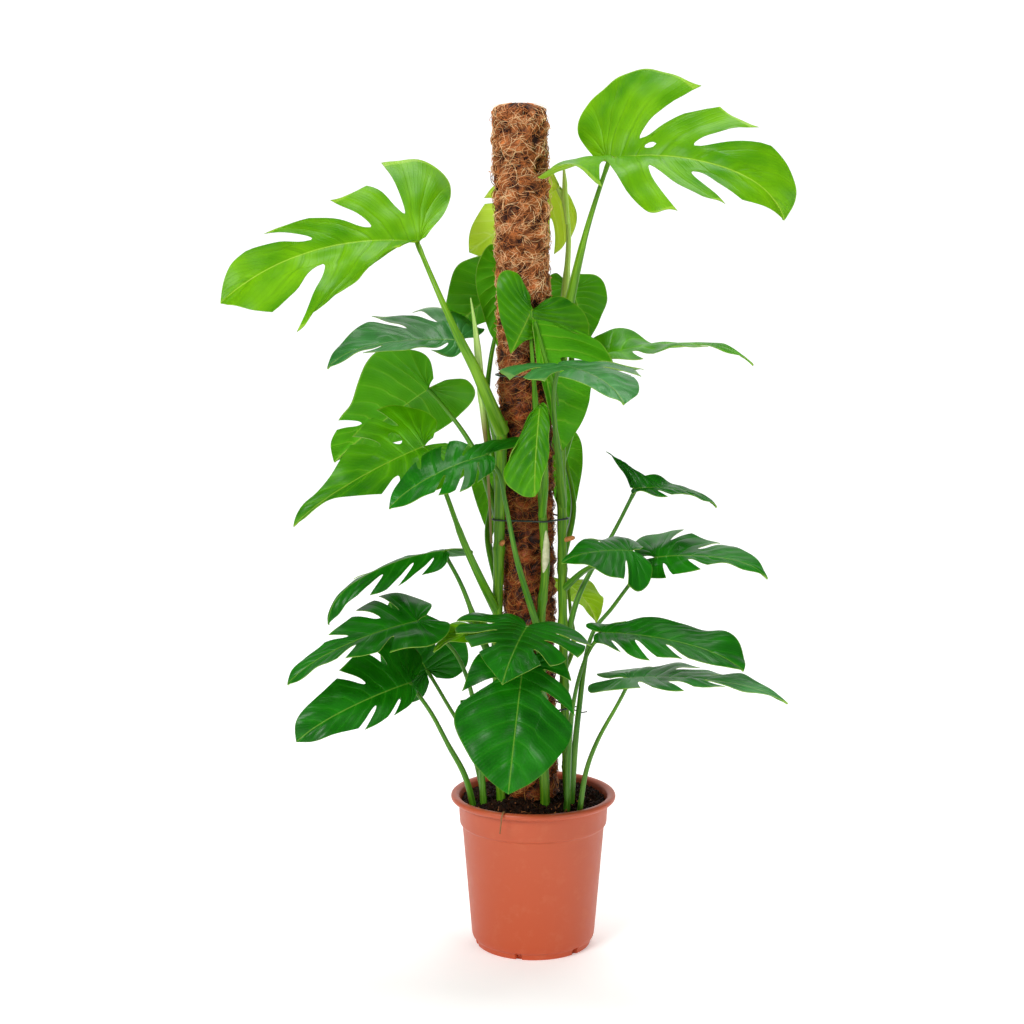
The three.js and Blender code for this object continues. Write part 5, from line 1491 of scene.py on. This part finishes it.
@dataclass
class Stems:
    """The three stems, their old stubs, a dry sheath and a root over the rim.

    Swellings, scars and the unevenness of the skin are shares of the radius; a joint's spread, a
    scar's height above its joint and its width are in millimetres, as is the girth that the waves of
    the skin are laid round.
    """

    sides: int = 22
    steps: int = 260
    joint: float = 0.22
    joint_spread: float = 7
    scar: float = 0.09
    scar_above: float = 3
    scar_width: float = 1.2
    skin: float = 0.03
    skin_waves: Pair = (14, 60)
    girth: float = 9
    stub_radius: float = 3.6
    stub_steps: int = 12
    sheath_route: tuple[Point, ...] = ((13, -50.5, 552), (16, -52, 576), (17, -53, 600), (15.5, -52.5, 624))
    sheath_radii: tuple[float, ...] = (1.0, 5.4, 4.6, 1.2)
    sheath_steps: int = 40
    root_route: tuple[Point, ...] = (
        (-38, -92, 212),
        (-40, -103, 222),
        (-42.5, -109.5, 228),
        (-45, -115.5, 224),
        (-46.5, -117, 212),
        (-48, -115.5, 198),
    )
    root_radii: Pair = (1.5, 0.8)
    root_steps: int = 50

    def stem(self, stem: Stem) -> Surface:
        """Stem with swollen joints, each with a thin scar ring.

        The radius grows by joint · exp(-((z - node) / joint_spread)²) at a joint, less the ring of the
        scar, which has the same form, and by a sum of sines for the skin.

        Args:
            stem: The stem.

        Returns:
            The closed stem with its stubs, stubs in finish 1.
        """
        path = curved(stem.route, self.steps)
        share = np.linspace(0, 1, len(path))
        height = path[:, 2]
        radius = stem.radius[0] + (stem.radius[1] - stem.radius[0]) * share
        apart = height[:, None] - np.array(stem.nodes)
        swell = self.joint * np.exp(-((apart / self.joint_spread) ** 2)).sum(axis=1)
        ring = self.scar * np.exp(-(((apart - self.scar_above) / self.scar_width) ** 2)).sum(axis=1)
        turn = 2 * np.pi * np.arange(self.sides) / self.sides
        spots = np.stack(np.broadcast_arrays(height[:, None], self.girth * np.cos(turn)), axis=-1)
        skin = self.skin * waves(np.random.default_rng(SEED), spots, self.skin_waves, 10)
        parts = [tube(path, radius[:, None] * (1 + swell[:, None] - ring[:, None] + skin), self.sides)]
        share = np.linspace(0, 1, self.stub_steps)
        taper = self.stub_radius * np.interp(share, [0, 0.85, 1], [1.05, 0.9, 0.6])
        for foot, end in stem.stubs:
            parts.append(tube(np.linspace(foot, end, self.stub_steps), taper, 14, finish=1))
        return joined(parts)

    def build(self) -> list[Piece]:
        """Builds and dresses the stems, the sheath and the root over the rim, and returns them."""
        rind = StalkFinish("stem_rind", "#387400", "#6c9c14", "#7a5a2a", 0.14, 0.42).material()
        cork = PlainFinish("stub_cork", "#a8622c", "#d08a4c", 0.75).material()
        pieces = []
        for stem in STEMS:
            pieces.append(put(f"monstera_{stem.name}", self.stem(stem), [rind, cork], (stem.name,)))
        paper = PlainFinish("dry_leaf_sheath", "#a8b070", "#ece8cc", 0.7, 16.7).material()
        share, given = np.linspace(0, 1, self.sheath_steps + 1), np.linspace(0, 1, len(self.sheath_radii))
        radii = np.interp(share, given, self.sheath_radii)
        sheath = tube(curved(self.sheath_route, self.sheath_steps), radii, 20)
        pieces.append(put("dry_leaf_sheath", sheath, [paper]))
        skin = PlainFinish("root_skin", "#5a3c22", "#8a6438", 0.7, 8.33).material()
        radii = np.linspace(*self.root_radii, self.root_steps + 1)
        root = tube(curved(self.root_route, self.root_steps), radii, 10)
        pieces.append(put("root_over_rim", root, [skin]))
        return pieces


@dataclass(frozen=True)
class Coat:
    """One coat of strands on the pole: how many, how long and thick, how they lie and how pale they are.

    slant is the usual climb and its spread in radians, curl the spread of a strand's own turning,
    loose the share of strands that stand off the mat and stand_off how far they do.
    """

    name: str
    count: int
    length: Pair
    thickness: Pair
    slant: Pair
    curl: float
    tone: Pair
    rise: Pair
    steps: int = 6
    loose: float = 0.06
    stand_off: Pair = (1.5, 5)


@dataclass
class CoirPole:
    """Coir pole: a matted core of wads with some thousands of strands wound and tangled over it.

    winding is the climb of the strip of mat in one turn; wads and mat are the shortest and longest
    waves of its coarse and fine relief, girth the radius that these waves are laid round. The core is
    sunk below the bare pole by sunk, and the ends of strands by strand_sunk.
    """

    top: float = 1211
    foot: float = 150
    dome: float = 14
    radius_top: float = 37.5
    radius_foot: float = 35.5
    aside: float = -2
    lean: float = 19
    lean_from: float = 235
    winding: float = 38
    strip_relief: float = 1.1
    wads: Pair = (9, 30)
    wad_relief: float = 1.25
    mat: Pair = (3, 7)
    mat_relief: float = 0.45
    girth: float = 36
    sunk: float = 1.5
    rows: int = 460
    dome_rows: int = 12
    columns: int = 110
    strands_from: float = 220
    strand_girth: float = 37
    strand_sunk: float = 1.6
    coats: tuple[Coat, ...] = (
        # painted shade: the coats that lie lower are drawn darker than those above them
        Coat("coir_strands_1", 5000, (9, 26), (0.34, 0.7), (0.3, 0.9), 1.3, (0.3, 0.24), (0.8, 2.6)),
        Coat("coir_strands_2", 5000, (10, 30), (0.3, 0.6), (0.3, 0.8), 1.2, (0.5, 0.26), (1.0, 3.2)),
        Coat(
            "coir_strands_3", 2200, (12, 38), (0.26, 0.5), (0.3, 0.7), 1.2, (0.8, 0.24), (1.8, 4.2),
            steps=8, loose=0.14,
        ),
        Coat(
            "coir_windings", 45, (70, 180), (0.3, 0.45), (0.62, 0.2), 0.8, (0.78, 0.14), (2.2, 3.4),
            steps=30, loose=0.02,
        ),
    )

    def centre(self, height: Array) -> Array:
        """Sideways place of the axis, which leans by lean · share^1.1 above the height lean_from."""
        share = np.maximum(0, (height - self.lean_from) / (self.top - self.lean_from))
        return self.aside - self.lean * share**1.1

    def radius(self, height: Array) -> Array:
        """Radius of the bare core, drawn in at the top by the root of 1 - 0.94 · late^2.4."""
        plain = self.radius_foot + (self.radius_top - self.radius_foot) * height / self.top
        late = np.clip((height - (self.top - self.dome)) / self.dome, 0, 1)
        return plain * np.sqrt(1 - 0.94 * late**2.4)

    def lumps(self, turn: Array, height: Array) -> Array:
        """Relief of the mat off the bare pole.

        A sum of sines for the wads of fibre, and strip_relief · cos(turn + 2π · height / winding) for
        the strip of mat that is wound round the pole, falling to the right in front.

        Args:
            turn: Angles about the axis in radians.
            height: Heights.

        Returns:
            Relief in millimetres.
        """
        spots = polar(turn, self.girth, height)
        wads = self.wad_relief * waves(np.random.default_rng(SEED + 20), spots, self.wads, 48)
        return wads + self.strip_relief * np.cos(turn + 2 * np.pi * height / self.winding)

    def at(self, turn: Array, height: Array, lift: Array) -> Array:
        """Points at a turn and height, a lift off the core."""
        reach = self.radius(height) + lift
        return np.stack([self.centre(height) + reach * np.cos(turn), reach * np.sin(turn), height], axis=-1)

    def core(self) -> Surface:
        """Core: the bare radius plus the relief of the wads and of the finer mat, less sunk.

        Returns:
            The closed core, with a "tone" that is darker in its pits, as painted shade.
        """
        shoulder = self.top - self.dome
        height = np.concatenate([
            np.linspace(self.foot, shoulder, self.rows),
            shoulder + self.dome * np.sin(np.linspace(0.1, 1, self.dome_rows) * np.pi / 2),
        ])[:, None] + np.zeros((1, self.columns))
        turn = np.linspace(0, 2 * np.pi, self.columns, endpoint=False)[None] + 0 * height
        spots = polar(turn, self.girth, height)
        relief = self.mat_relief * waves(np.random.default_rng(SEED), spots, self.mat, 40)
        relief = relief + self.lumps(turn, height)
        uv = np.stack(np.meshgrid(np.linspace(0, 1, self.columns + 1), height[:, 0]), axis=-1)
        surface = ringed(self.at(turn, height, relief - self.sunk), uv)
        # painted shade: the core is darker than the strands, and darker still in the pits of its relief
        tone = np.clip(0.16 + 0.08 * relief, 0, 0.5).ravel()
        surface.marks["tone"] = np.append(tone, [0.1, 0.3])
        return surface

    def coat(self, coat: Coat, seed: int) -> Surface:
        """Strands of one coat, three-sided tubes that lie curled on the wads.

        A strand leaves its middle at a slant, six of ten climbing to the right, and turns by its own
        curl. Its lift over the wads is rise · (1 - (2t - 1)²) - strand_sunk, so both ends go under.
        Loose ones stand off further. It thins to half its radius at its ends.

        Args:
            coat: What the strands are like.
            seed: Seeds the draw.

        Returns:
            The closed strands, each with its own "tone", darker in the pits as painted shade.
        """
        rng = np.random.default_rng(seed)
        each = (coat.count, 1)
        t = np.linspace(0, 1, coat.steps + 1)[None]
        low, high = self.strands_from, self.top - 2
        middle = low + (high - low) * rng.random(each)
        around = 2 * np.pi * rng.random(each)
        length = rng.uniform(*coat.length, each)
        slant = rng.normal(*coat.slant, each) * rng.choice([-1, 1], each, p=[0.4, 0.6])
        way = slant + rng.normal(0, coat.curl, each) * (t - 0.5)
        step = length / coat.steps
        side = np.cumsum(np.cos(way), axis=1) * step
        climb = np.cumsum(np.sin(way), axis=1) * step
        side, climb = side - side.mean(axis=1, keepdims=True), climb - climb.mean(axis=1, keepdims=True)
        height = np.clip(middle + climb, self.foot, self.top - 0.5)
        turn = around + side / self.strand_girth
        rise = rng.uniform(*coat.rise, each)
        rise = rise + (rng.random(each) < coat.loose) * rng.uniform(*coat.stand_off, each)
        wad = self.lumps(turn, height)
        path = self.at(turn, height, wad - self.strand_sunk + rise * (1 - (2 * t - 1) ** 2))
        radius = rng.uniform(*coat.thickness, each) * (1 - 0.5 * np.abs(2 * t - 1) ** 3)
        along = unit(np.gradient(path, axis=1))
        beside = unit(np.cross(along, polar(turn, 1, 0)))
        above = np.cross(beside, along)
        corner = (2 * np.pi * np.arange(3) / 3)[:, None]
        section = np.cos(corner) * above[:, :, None] + np.sin(corner) * beside[:, :, None]
        points = (path[:, :, None] + radius[:, :, None, None] * section).reshape(-1, 3)
        last = 3 * t.size - 3
        strand = np.concatenate([wrapped(t.size, 3), [(2, 1, 0), (last, last + 1, last + 2)]])
        # painted shade: a strand that lies in a pit of the wads is drawn darker
        tone = np.clip(rng.normal(*coat.tone, each) + 0.1 * wad, 0, 1)
        return repeated(points, strand, coat.count, np.repeat(tone.ravel(), 3))

    def build(self) -> list[Piece]:
        """Builds and dresses the core and its coats, and returns them."""
        coir = CoirFinish("coir_fibre", "#2c0e06", "#d88040", "#ffdca8", "#c8a068").material()
        pieces = [put("coir_core", self.core(), [coir], ("coir_pole",), 80)]
        for number, coat in enumerate(self.coats, start=1):
            pieces.append(put(coat.name, self.coat(coat, SEED + number), [coir], (), 180))
        return pieces


@dataclass(frozen=True)
class Tie:
    """One tie: its height, the stems that it holds, and its loose ends."""

    name: str
    height: float
    held: tuple[str, ...]
    ends: tuple[tuple[Point, ...], ...] = ()


@dataclass
class Ties:
    """Loops of coated garden wire round the pole and the stems.

    wire is the wire's radius and end_radius that of its bare ends; clearance is left between the wire
    and what it holds, and mat is how far the mat stands off the bare pole.
    """

    pole: CoirPole
    wire: float = 1.3
    end_radius: float = 0.9
    clearance: float = 0.9
    mat: float = 1.7
    steps: int = 180
    end_steps: int = 16
    sides: int = 8
    ties: tuple[Tie, ...] = (
        Tie("tie_upper", 834, ("stem_right",)),
        Tie("tie_middle", 632, ("stem_left", "stem_centre", "stem_right")),
        Tie(
            "tie_lower",
            357,
            ("stem_centre", "stem_right"),
            (
                ((50, -29, 357), (58, -33, 356), (68, -36, 353), (76, -40, 355)),
                ((50, -28, 357), (57, -31, 360), (65, -36, 361)),
            ),
        ),
    )

    def loop(self, tie: Tie) -> Surface:
        """Wire pulled round the discs of the pole and the stems that it holds.

        In each direction the point of the loop is that of the disc that reaches furthest.

        Args:
            tie: The tie.

        Returns:
            The closed ring of wire with its ends.
        """
        gap = self.clearance + self.wire
        height = np.array(tie.height)
        discs = [(float(self.pole.centre(height)), 0.0, float(self.pole.radius(height)) + self.mat + gap)]
        for stem in STEMS:
            if stem.name in tie.held:
                centre, radius = stem.at(tie.height)
                discs.append((centre[0], centre[1], radius + gap))
        x, y, reach = np.array(discs).T[..., None]
        turn = np.linspace(0, 2 * np.pi, self.steps, endpoint=False)
        best = np.argmax(x * np.cos(turn) + y * np.sin(turn) + reach, axis=0)
        outward = polar(turn, 1, 0)
        centre = np.stack([x[best, 0], y[best, 0], tie.height + 0 * turn], axis=-1) + reach[best] * outward
        corner = (2 * np.pi * np.arange(self.sides) / self.sides)[:, None]
        section = np.cos(corner) * outward[:, None] + np.sin(corner) * np.array([0, 0, 1])
        points = (centre[:, None] + self.wire * section).reshape(-1, 3)
        triangles = (wrapped(self.steps + 1, self.sides) % len(points))[:, ::-1]
        radii = np.full(self.end_steps + 1, self.end_radius)
        ends = [tube(curved(end, self.end_steps), radii, self.sides) for end in tie.ends]
        return joined([bare(points, triangles), *ends])

    def build(self) -> list[Piece]:
        """Builds and dresses the ties, and returns them."""
        coated = PlainFinish("coated_garden_wire", "#121a14", "#24382c", 0.35, 16.7).material()
        pieces = []
        for tie in self.ties:
            pieces.append(put(f"wire_{tie.name}", self.loop(tie), [coated], (tie.name,)))
        return pieces


# Pot and soil


@dataclass
class Pot:
    """Plastic pot: tapered wall on a foot ring, a band below the rim, and a rolled rim.

    The notches are given by their depth, half width and height; the first lies a quarter of the way
    from one to the next.
    """

    height: float = 225.5
    rim: float = 120
    shoulder: float = 182
    wall: float = 3.2
    floor: float = 6
    foot: float = 84
    corner: float = 2.2
    notches: int = 6
    notch_depth: float = 7
    notch_half: float = 4.6
    notch_height: float = 11.2
    first_notch: float = 0.25

    def profile(self) -> Array:
        """Section of the pot from the centre of its underside round to the centre of its inside.

        Each corner becomes a short curve between points that lie a corner radius from it on its
        two sides, or a third of a shorter side: (1 - u)² a + 2u (1 - u) corner + u² b.

        Returns:
            Radius and height pairs.
        """
        h, r, f, w, s = self.height, self.rim, self.foot, self.wall, self.shoulder
        given = np.array([
            (0, 0), (34, 0), (38, 3), (74, 3), (77, 0), (f, 0), (f + 1, 8), (f + 4.5, 11), (f + 6, 16),
            (r - 16.5, s - 3), (r - 13, s), (r - 11, h - 10), (r - 3, h - 9.5), (r - 0.6, h - 7),
            (r, h - 4.5), (r - 0.8, h - 1.8), (r - 3, h), (r - 8, h), (r - 12, h - 3),
            (r - 11 - w, h - 11), (r - 13 - w, s + 1), (r - 16.5 - w, s - 2), (f + 6 - w, 18),
            (f + 1 - w, self.floor), (0, self.floor),
        ], dtype=float)
        corner, before, after = given[1:-1], given[:-2] - given[1:-1], given[2:] - given[1:-1]
        back = np.minimum(self.corner, np.linalg.norm(before, axis=1) / 3)[:, None]
        on = np.minimum(self.corner, np.linalg.norm(after, axis=1) / 3)[:, None]
        a, b = corner + unit(before) * back, corner + unit(after) * on
        u = np.linspace(0, 1, 5)[None, :, None]
        curve = (1 - u) ** 2 * a[:, None] + 2 * u * (1 - u) * corner[:, None] + u**2 * b[:, None]
        return np.vstack([given[:1], curve.reshape(-1, 2), given[-1:]])

    def surface(self) -> Surface:
        """Section turned about the axis, pressed in at the drain notches of the foot.

        A notch draws the foot's outer corner in by its depth times a smooth window of its width and
        height. Columns stand closer together across a notch than between two.

        Returns:
            The closed pot.
        """
        section = self.profile()[1:-1]
        pitch = 2 * np.pi / self.notches
        near = np.concatenate([np.linspace(-4.2, 4.2, 15), np.linspace(6, 54, 18)]) * DEG
        turn = np.sort(((np.arange(self.notches) + self.first_notch)[:, None] * pitch + near).ravel())
        radius, height = section[:, 0][:, None], section[:, 1][:, None]
        off = (turn / pitch - self.first_notch + 0.5) % 1 - 0.5
        window = ease((self.notch_half - np.abs(off * pitch * self.foot)) / 0.8)[None]
        outer = (radius > self.foot - 3) & (np.arange(len(section))[:, None] < len(section) / 2)
        low = ease((self.notch_height - height) / 0.6) * outer
        reach = radius - self.notch_depth * window * low
        uv = np.stack(np.meshgrid(np.append(turn, turn[0] + 2 * np.pi), travel(section)), axis=-1)
        return ringed(polar(turn, reach, height), uv)

    def build(self) -> list[Piece]:
        """Builds and dresses the pot, and returns it."""
        return [put("nursery_pot", self.surface(), [PotFinish().material()], ("pot",), 42)]


GOLDEN = (1 + math.sqrt(5)) / 2
ICOSAHEDRON_CORNERS = np.array([
    (-1, GOLDEN, 0), (1, GOLDEN, 0), (-1, -GOLDEN, 0), (1, -GOLDEN, 0),
    (0, -1, GOLDEN), (0, 1, GOLDEN), (0, -1, -GOLDEN), (0, 1, -GOLDEN),
    (GOLDEN, 0, -1), (GOLDEN, 0, 1), (-GOLDEN, 0, -1), (-GOLDEN, 0, 1),
])
ICOSAHEDRON_FACES = np.array([
    (0, 11, 5), (0, 5, 1), (0, 1, 7), (0, 7, 10), (0, 10, 11), (1, 5, 9), (5, 11, 4), (11, 10, 2),
    (10, 7, 6), (7, 1, 8), (3, 9, 4), (3, 4, 2), (3, 2, 6), (3, 6, 8), (3, 8, 9), (4, 9, 5),
    (2, 4, 11), (6, 2, 10), (8, 6, 7), (9, 8, 1),
])


@dataclass(frozen=True)
class Bits:
    """Loose bits on the soil: how many, their radii, how much they are stretched, and their tones."""

    name: str
    count: int
    size: Pair
    stretch: Pair
    tone: Pair
    seed: int


@dataclass
class Soil:
    """Potting mix: a lumpy filling with loose crumbs and shreds of bark and coir.

    edge is its height at the wall and mound what its middle adds; broad and narrow are the heights of
    the lumps that it shares with the solid, clods and grit the shortest and longest waves of a finer
    relief. bottom is where the filling ends in the pot.
    """

    edge: float = 213
    mound: float = 9
    radius: float = 104.2
    bottom: float = 150
    broad: float = 1.8
    narrow: float = 1.2
    clods: Pair = (9, 26)
    clod_relief: float = 1.4
    grit: Pair = (3.5, 8)
    grit_relief: float = 0.8
    rows: int = 60
    columns: int = 150
    crumbs: Bits = Bits("peat_crumbs", 2600, (1.2, 4.2), (1, 1.6), (0, 0.55), SEED + 11)
    shreds: Bits = Bits("bark_shreds", 260, (1.0, 2.2), (2.2, 5), (0.4, 1), SEED + 12)

    def height(self, radius: Array, turn: Array) -> Array:
        """Height of the surface: a low mound with waves of lumps that die out at the wall."""
        share = radius / self.radius
        lumps = self.broad * np.sin(3 * turn + 1) * share + self.narrow * np.sin(7 * turn + 6 * share)
        return self.edge + self.mound * (1 - share**2) + lumps * (1 - share**6)

    def filling(self) -> Surface:
        """Filling: the surface with a random relief of clods and grit, closed by its wall and floor.

        Returns:
            The closed filling.
        """
        rng = np.random.default_rng(SEED)
        turn = np.linspace(0, 2 * np.pi, self.columns, endpoint=False)[None]
        radius = np.linspace(self.radius, 2, self.rows)[:, None]
        spots = polar(turn, radius, 0)[..., :2]
        rough = self.clod_relief * waves(rng, spots, self.clods, 30)
        rough = rough + self.grit_relief * waves(rng, spots, self.grit, 50)
        inward = ease((self.radius - radius) / 6 + 0.35)
        top = polar(turn, radius, self.height(radius, turn) + rough * inward)
        wall = polar(turn, 0.94 * radius[:1], self.bottom)
        rings = np.concatenate([wall, top])
        surface = ringed(rings, np.zeros((len(rings), self.columns + 1, 2)))
        surface.marks["tone"] = np.full(len(surface.points), 0.1)
        return surface

    def scattered(self, bits: Bits) -> Surface:
        """Loose bits: twenty-sided lumps, squeezed, stretched, turned and dropped on the surface.

        Args:
            bits: What they are like.

        Returns:
            The closed bits.
        """
        rng = np.random.default_rng(bits.seed)
        count = bits.count
        radius = self.radius * 0.985 * np.sqrt(rng.uniform(0.0, 1, count))
        turn = rng.uniform(0, 2 * np.pi, count)
        reach = rng.uniform(*bits.size, count) * rng.uniform(0.6, 1, count)
        shape = unit(ICOSAHEDRON_CORNERS)[None] * rng.uniform(0.7, 1.25, (count, len(ICOSAHEDRON_CORNERS), 1))
        longer, flatter = rng.uniform(*bits.stretch, count), rng.uniform(0.5, 0.9, count)
        stretch = np.stack([longer, np.ones(count), flatter], axis=1)
        frames = np.linalg.qr(rng.normal(size=(count, 3, 3)))[0]
        frames = frames * np.sign(np.linalg.det(frames))[:, None, None]
        where = polar(turn, radius, self.height(radius, turn) + 0.5 * reach)
        turned = (shape * stretch[:, None]) @ np.swapaxes(frames, 1, 2)
        points = (where[:, None] + reach[:, None, None] * turned).reshape(-1, 3)
        tone = np.repeat(rng.uniform(*bits.tone, count), len(ICOSAHEDRON_CORNERS))
        return repeated(points, ICOSAHEDRON_FACES, count, tone)

    def build(self) -> list[Piece]:
        """Builds and dresses the filling, the crumbs and the shreds, and returns them."""
        peat = SoilFinish("moist_peat_mix", "#080301", "#3c1c08").material()
        bark = PlainFinish("bark_and_coir_shreds", "#4a2410", "#b06a34", 0.8, 4.17).material()
        return [
            put("potting_mix", self.filling(), [peat], ("soil",), 180),
            put(self.crumbs.name, self.scattered(self.crumbs), [peat], (), 30),
            put(self.shreds.name, self.scattered(self.shreds), [bark], (), 30),
        ]


# Studio


@dataclass(frozen=True)
class Lamp:
    """Soft square light: its place, what it points at, its side in metres and its power in watts."""

    name: str
    place: Point
    aim: Point
    side: float
    power: float


@dataclass(frozen=True)
class Studio:
    """Plain pale floor, soft light and the camera at the photograph's viewing angle, in metres.

    backdrop_curve holds how far behind and how high the backdrop's rows are. The focal length is in
    pixels of the photograph, frame_pixels wide.
    """

    camera: Point = (-0.031, -2.8, 1.041)
    pitch_down: float = 8.2
    focal_pixels: float = 1980
    frame_pixels: float = 1024
    sensor: float = 36
    floor_half: float = 9
    backdrop_half: float = 5.5
    backdrop_curve: tuple[Pair, ...] = ((4.6, -0.02), (4.9, 0.4), (5.0, 1.5), (5.0, 3.6), (4.2, 4.8))
    glow: float = 1.15
    surroundings: float = 0.2
    lamps: tuple[Lamp, ...] = (
        Lamp("key", (-3.0, -4.2, 3.6), (0, 0, 0.6), 2.0, 215),
        Lamp("fill", (3.6, -3.4, 1.6), (0, 0, 0.6), 2.4, 60),
        Lamp("top", (0.4, 0.6, 4.4), (0, 0, 0.5), 2.2, 100),
    )

    def staged(self, name: str, points: Array, faces: Array, finish: Material) -> Piece:
        """Puts a sheet into the scene that belongs to the studio.

        Args:
            name: Name of the sheet.
            points: Its points.
            faces: Its four-sided faces.
            finish: Its material.

        Returns:
            The new object.
        """
        mesh = bpy.data.meshes.new(name)
        mesh.from_pydata(points.tolist(), [], faces.tolist())
        mesh.materials.append(finish)
        sheet = bpy.data.objects.new(name, mesh)
        bpy.context.scene.collection.objects.link(sheet)
        return sheet

    def floor(self) -> Piece:
        """Large pale floor."""
        corners = self.floor_half * np.array([(-1, -1, 0), (1, -1, 0), (1, 1, 0), (-1, 1, 0)])
        graph = Graph("matt_white_paper")
        paper = graph.done(graph.add("BsdfPrincipled", {
            "Base Color": linear("#f7f7f5"),
            "Roughness": 0.9,
            "Emission Color": linear("#ffffff"),
            "Emission Strength": 0.3,
        }))
        return self.staged("studio_floor", corners, np.arange(4)[None], paper)

    def backdrop(self) -> Piece:
        """Glowing white wall far behind the plant, curved forward at its top as a photo studio's is."""
        rows = np.array(self.backdrop_curve)
        sides = [
            np.column_stack([np.full(len(rows), x), rows]) for x in (-self.backdrop_half, self.backdrop_half)
        ]
        index = np.arange(len(rows) - 1)
        faces = np.stack([index, index + len(rows), index + len(rows) + 1, index + 1], axis=1)
        graph = Graph("lit_white_backdrop")
        cloth = graph.done(graph.add("Emission", {"Color": linear("#ffffff"), "Strength": self.glow}))
        return self.staged("studio_backdrop", np.concatenate(sides), faces, cloth)

    def light(self, lamp: Lamp) -> None:
        """Adds a lamp and turns it to its aim."""
        light = bpy.data.lights.new(lamp.name, "AREA")
        light.energy = lamp.power
        light.size = lamp.side
        holder = bpy.data.objects.new(lamp.name, light)
        bpy.context.scene.collection.objects.link(holder)
        x, y, z = np.array(lamp.place) - np.array(lamp.aim)
        holder.location = lamp.place
        holder.rotation_euler = (math.atan2(math.hypot(x, y), z), 0, math.atan2(x, -y))

    def build(self) -> list[Piece]:
        """Sets the floor, the lights, the white surroundings and the camera, and returns the sheets."""
        scene = bpy.context.scene
        scene.view_settings.view_transform = "Standard"
        sheets = [self.floor(), self.backdrop()]
        for lamp in self.lamps:
            self.light(lamp)
        world = bpy.data.worlds.new("white_surroundings")
        world.use_nodes = True
        world.node_tree.nodes["Background"].inputs["Color"].default_value = (1, 1, 1, 1)
        world.node_tree.nodes["Background"].inputs["Strength"].default_value = self.surroundings
        scene.world = world
        lens = bpy.data.cameras.new("camera")
        lens.sensor_width = self.sensor
        lens.lens = self.sensor * self.focal_pixels / self.frame_pixels
        camera = bpy.data.objects.new("camera", lens)
        camera.location = self.camera
        camera.rotation_euler = ((90 - self.pitch_down) * DEG, 0, 0)
        scene.collection.objects.link(camera)
        scene.camera = camera
        return sheets


def main() -> None:
    """Builds the studio and the plant and reports each piece."""
    logging.basicConfig(level=logging.INFO, format="%(message)s")
    pole = CoirPole()
    for assembly in (Studio(), Pot(), Soil(), pole, Stems(), Ties(pole), Foliage()):
        for piece in assembly.build():
            LOG.info("%s: %d faces", piece.name, len(piece.data.polygons))


if __name__ == "__main__":
    main()
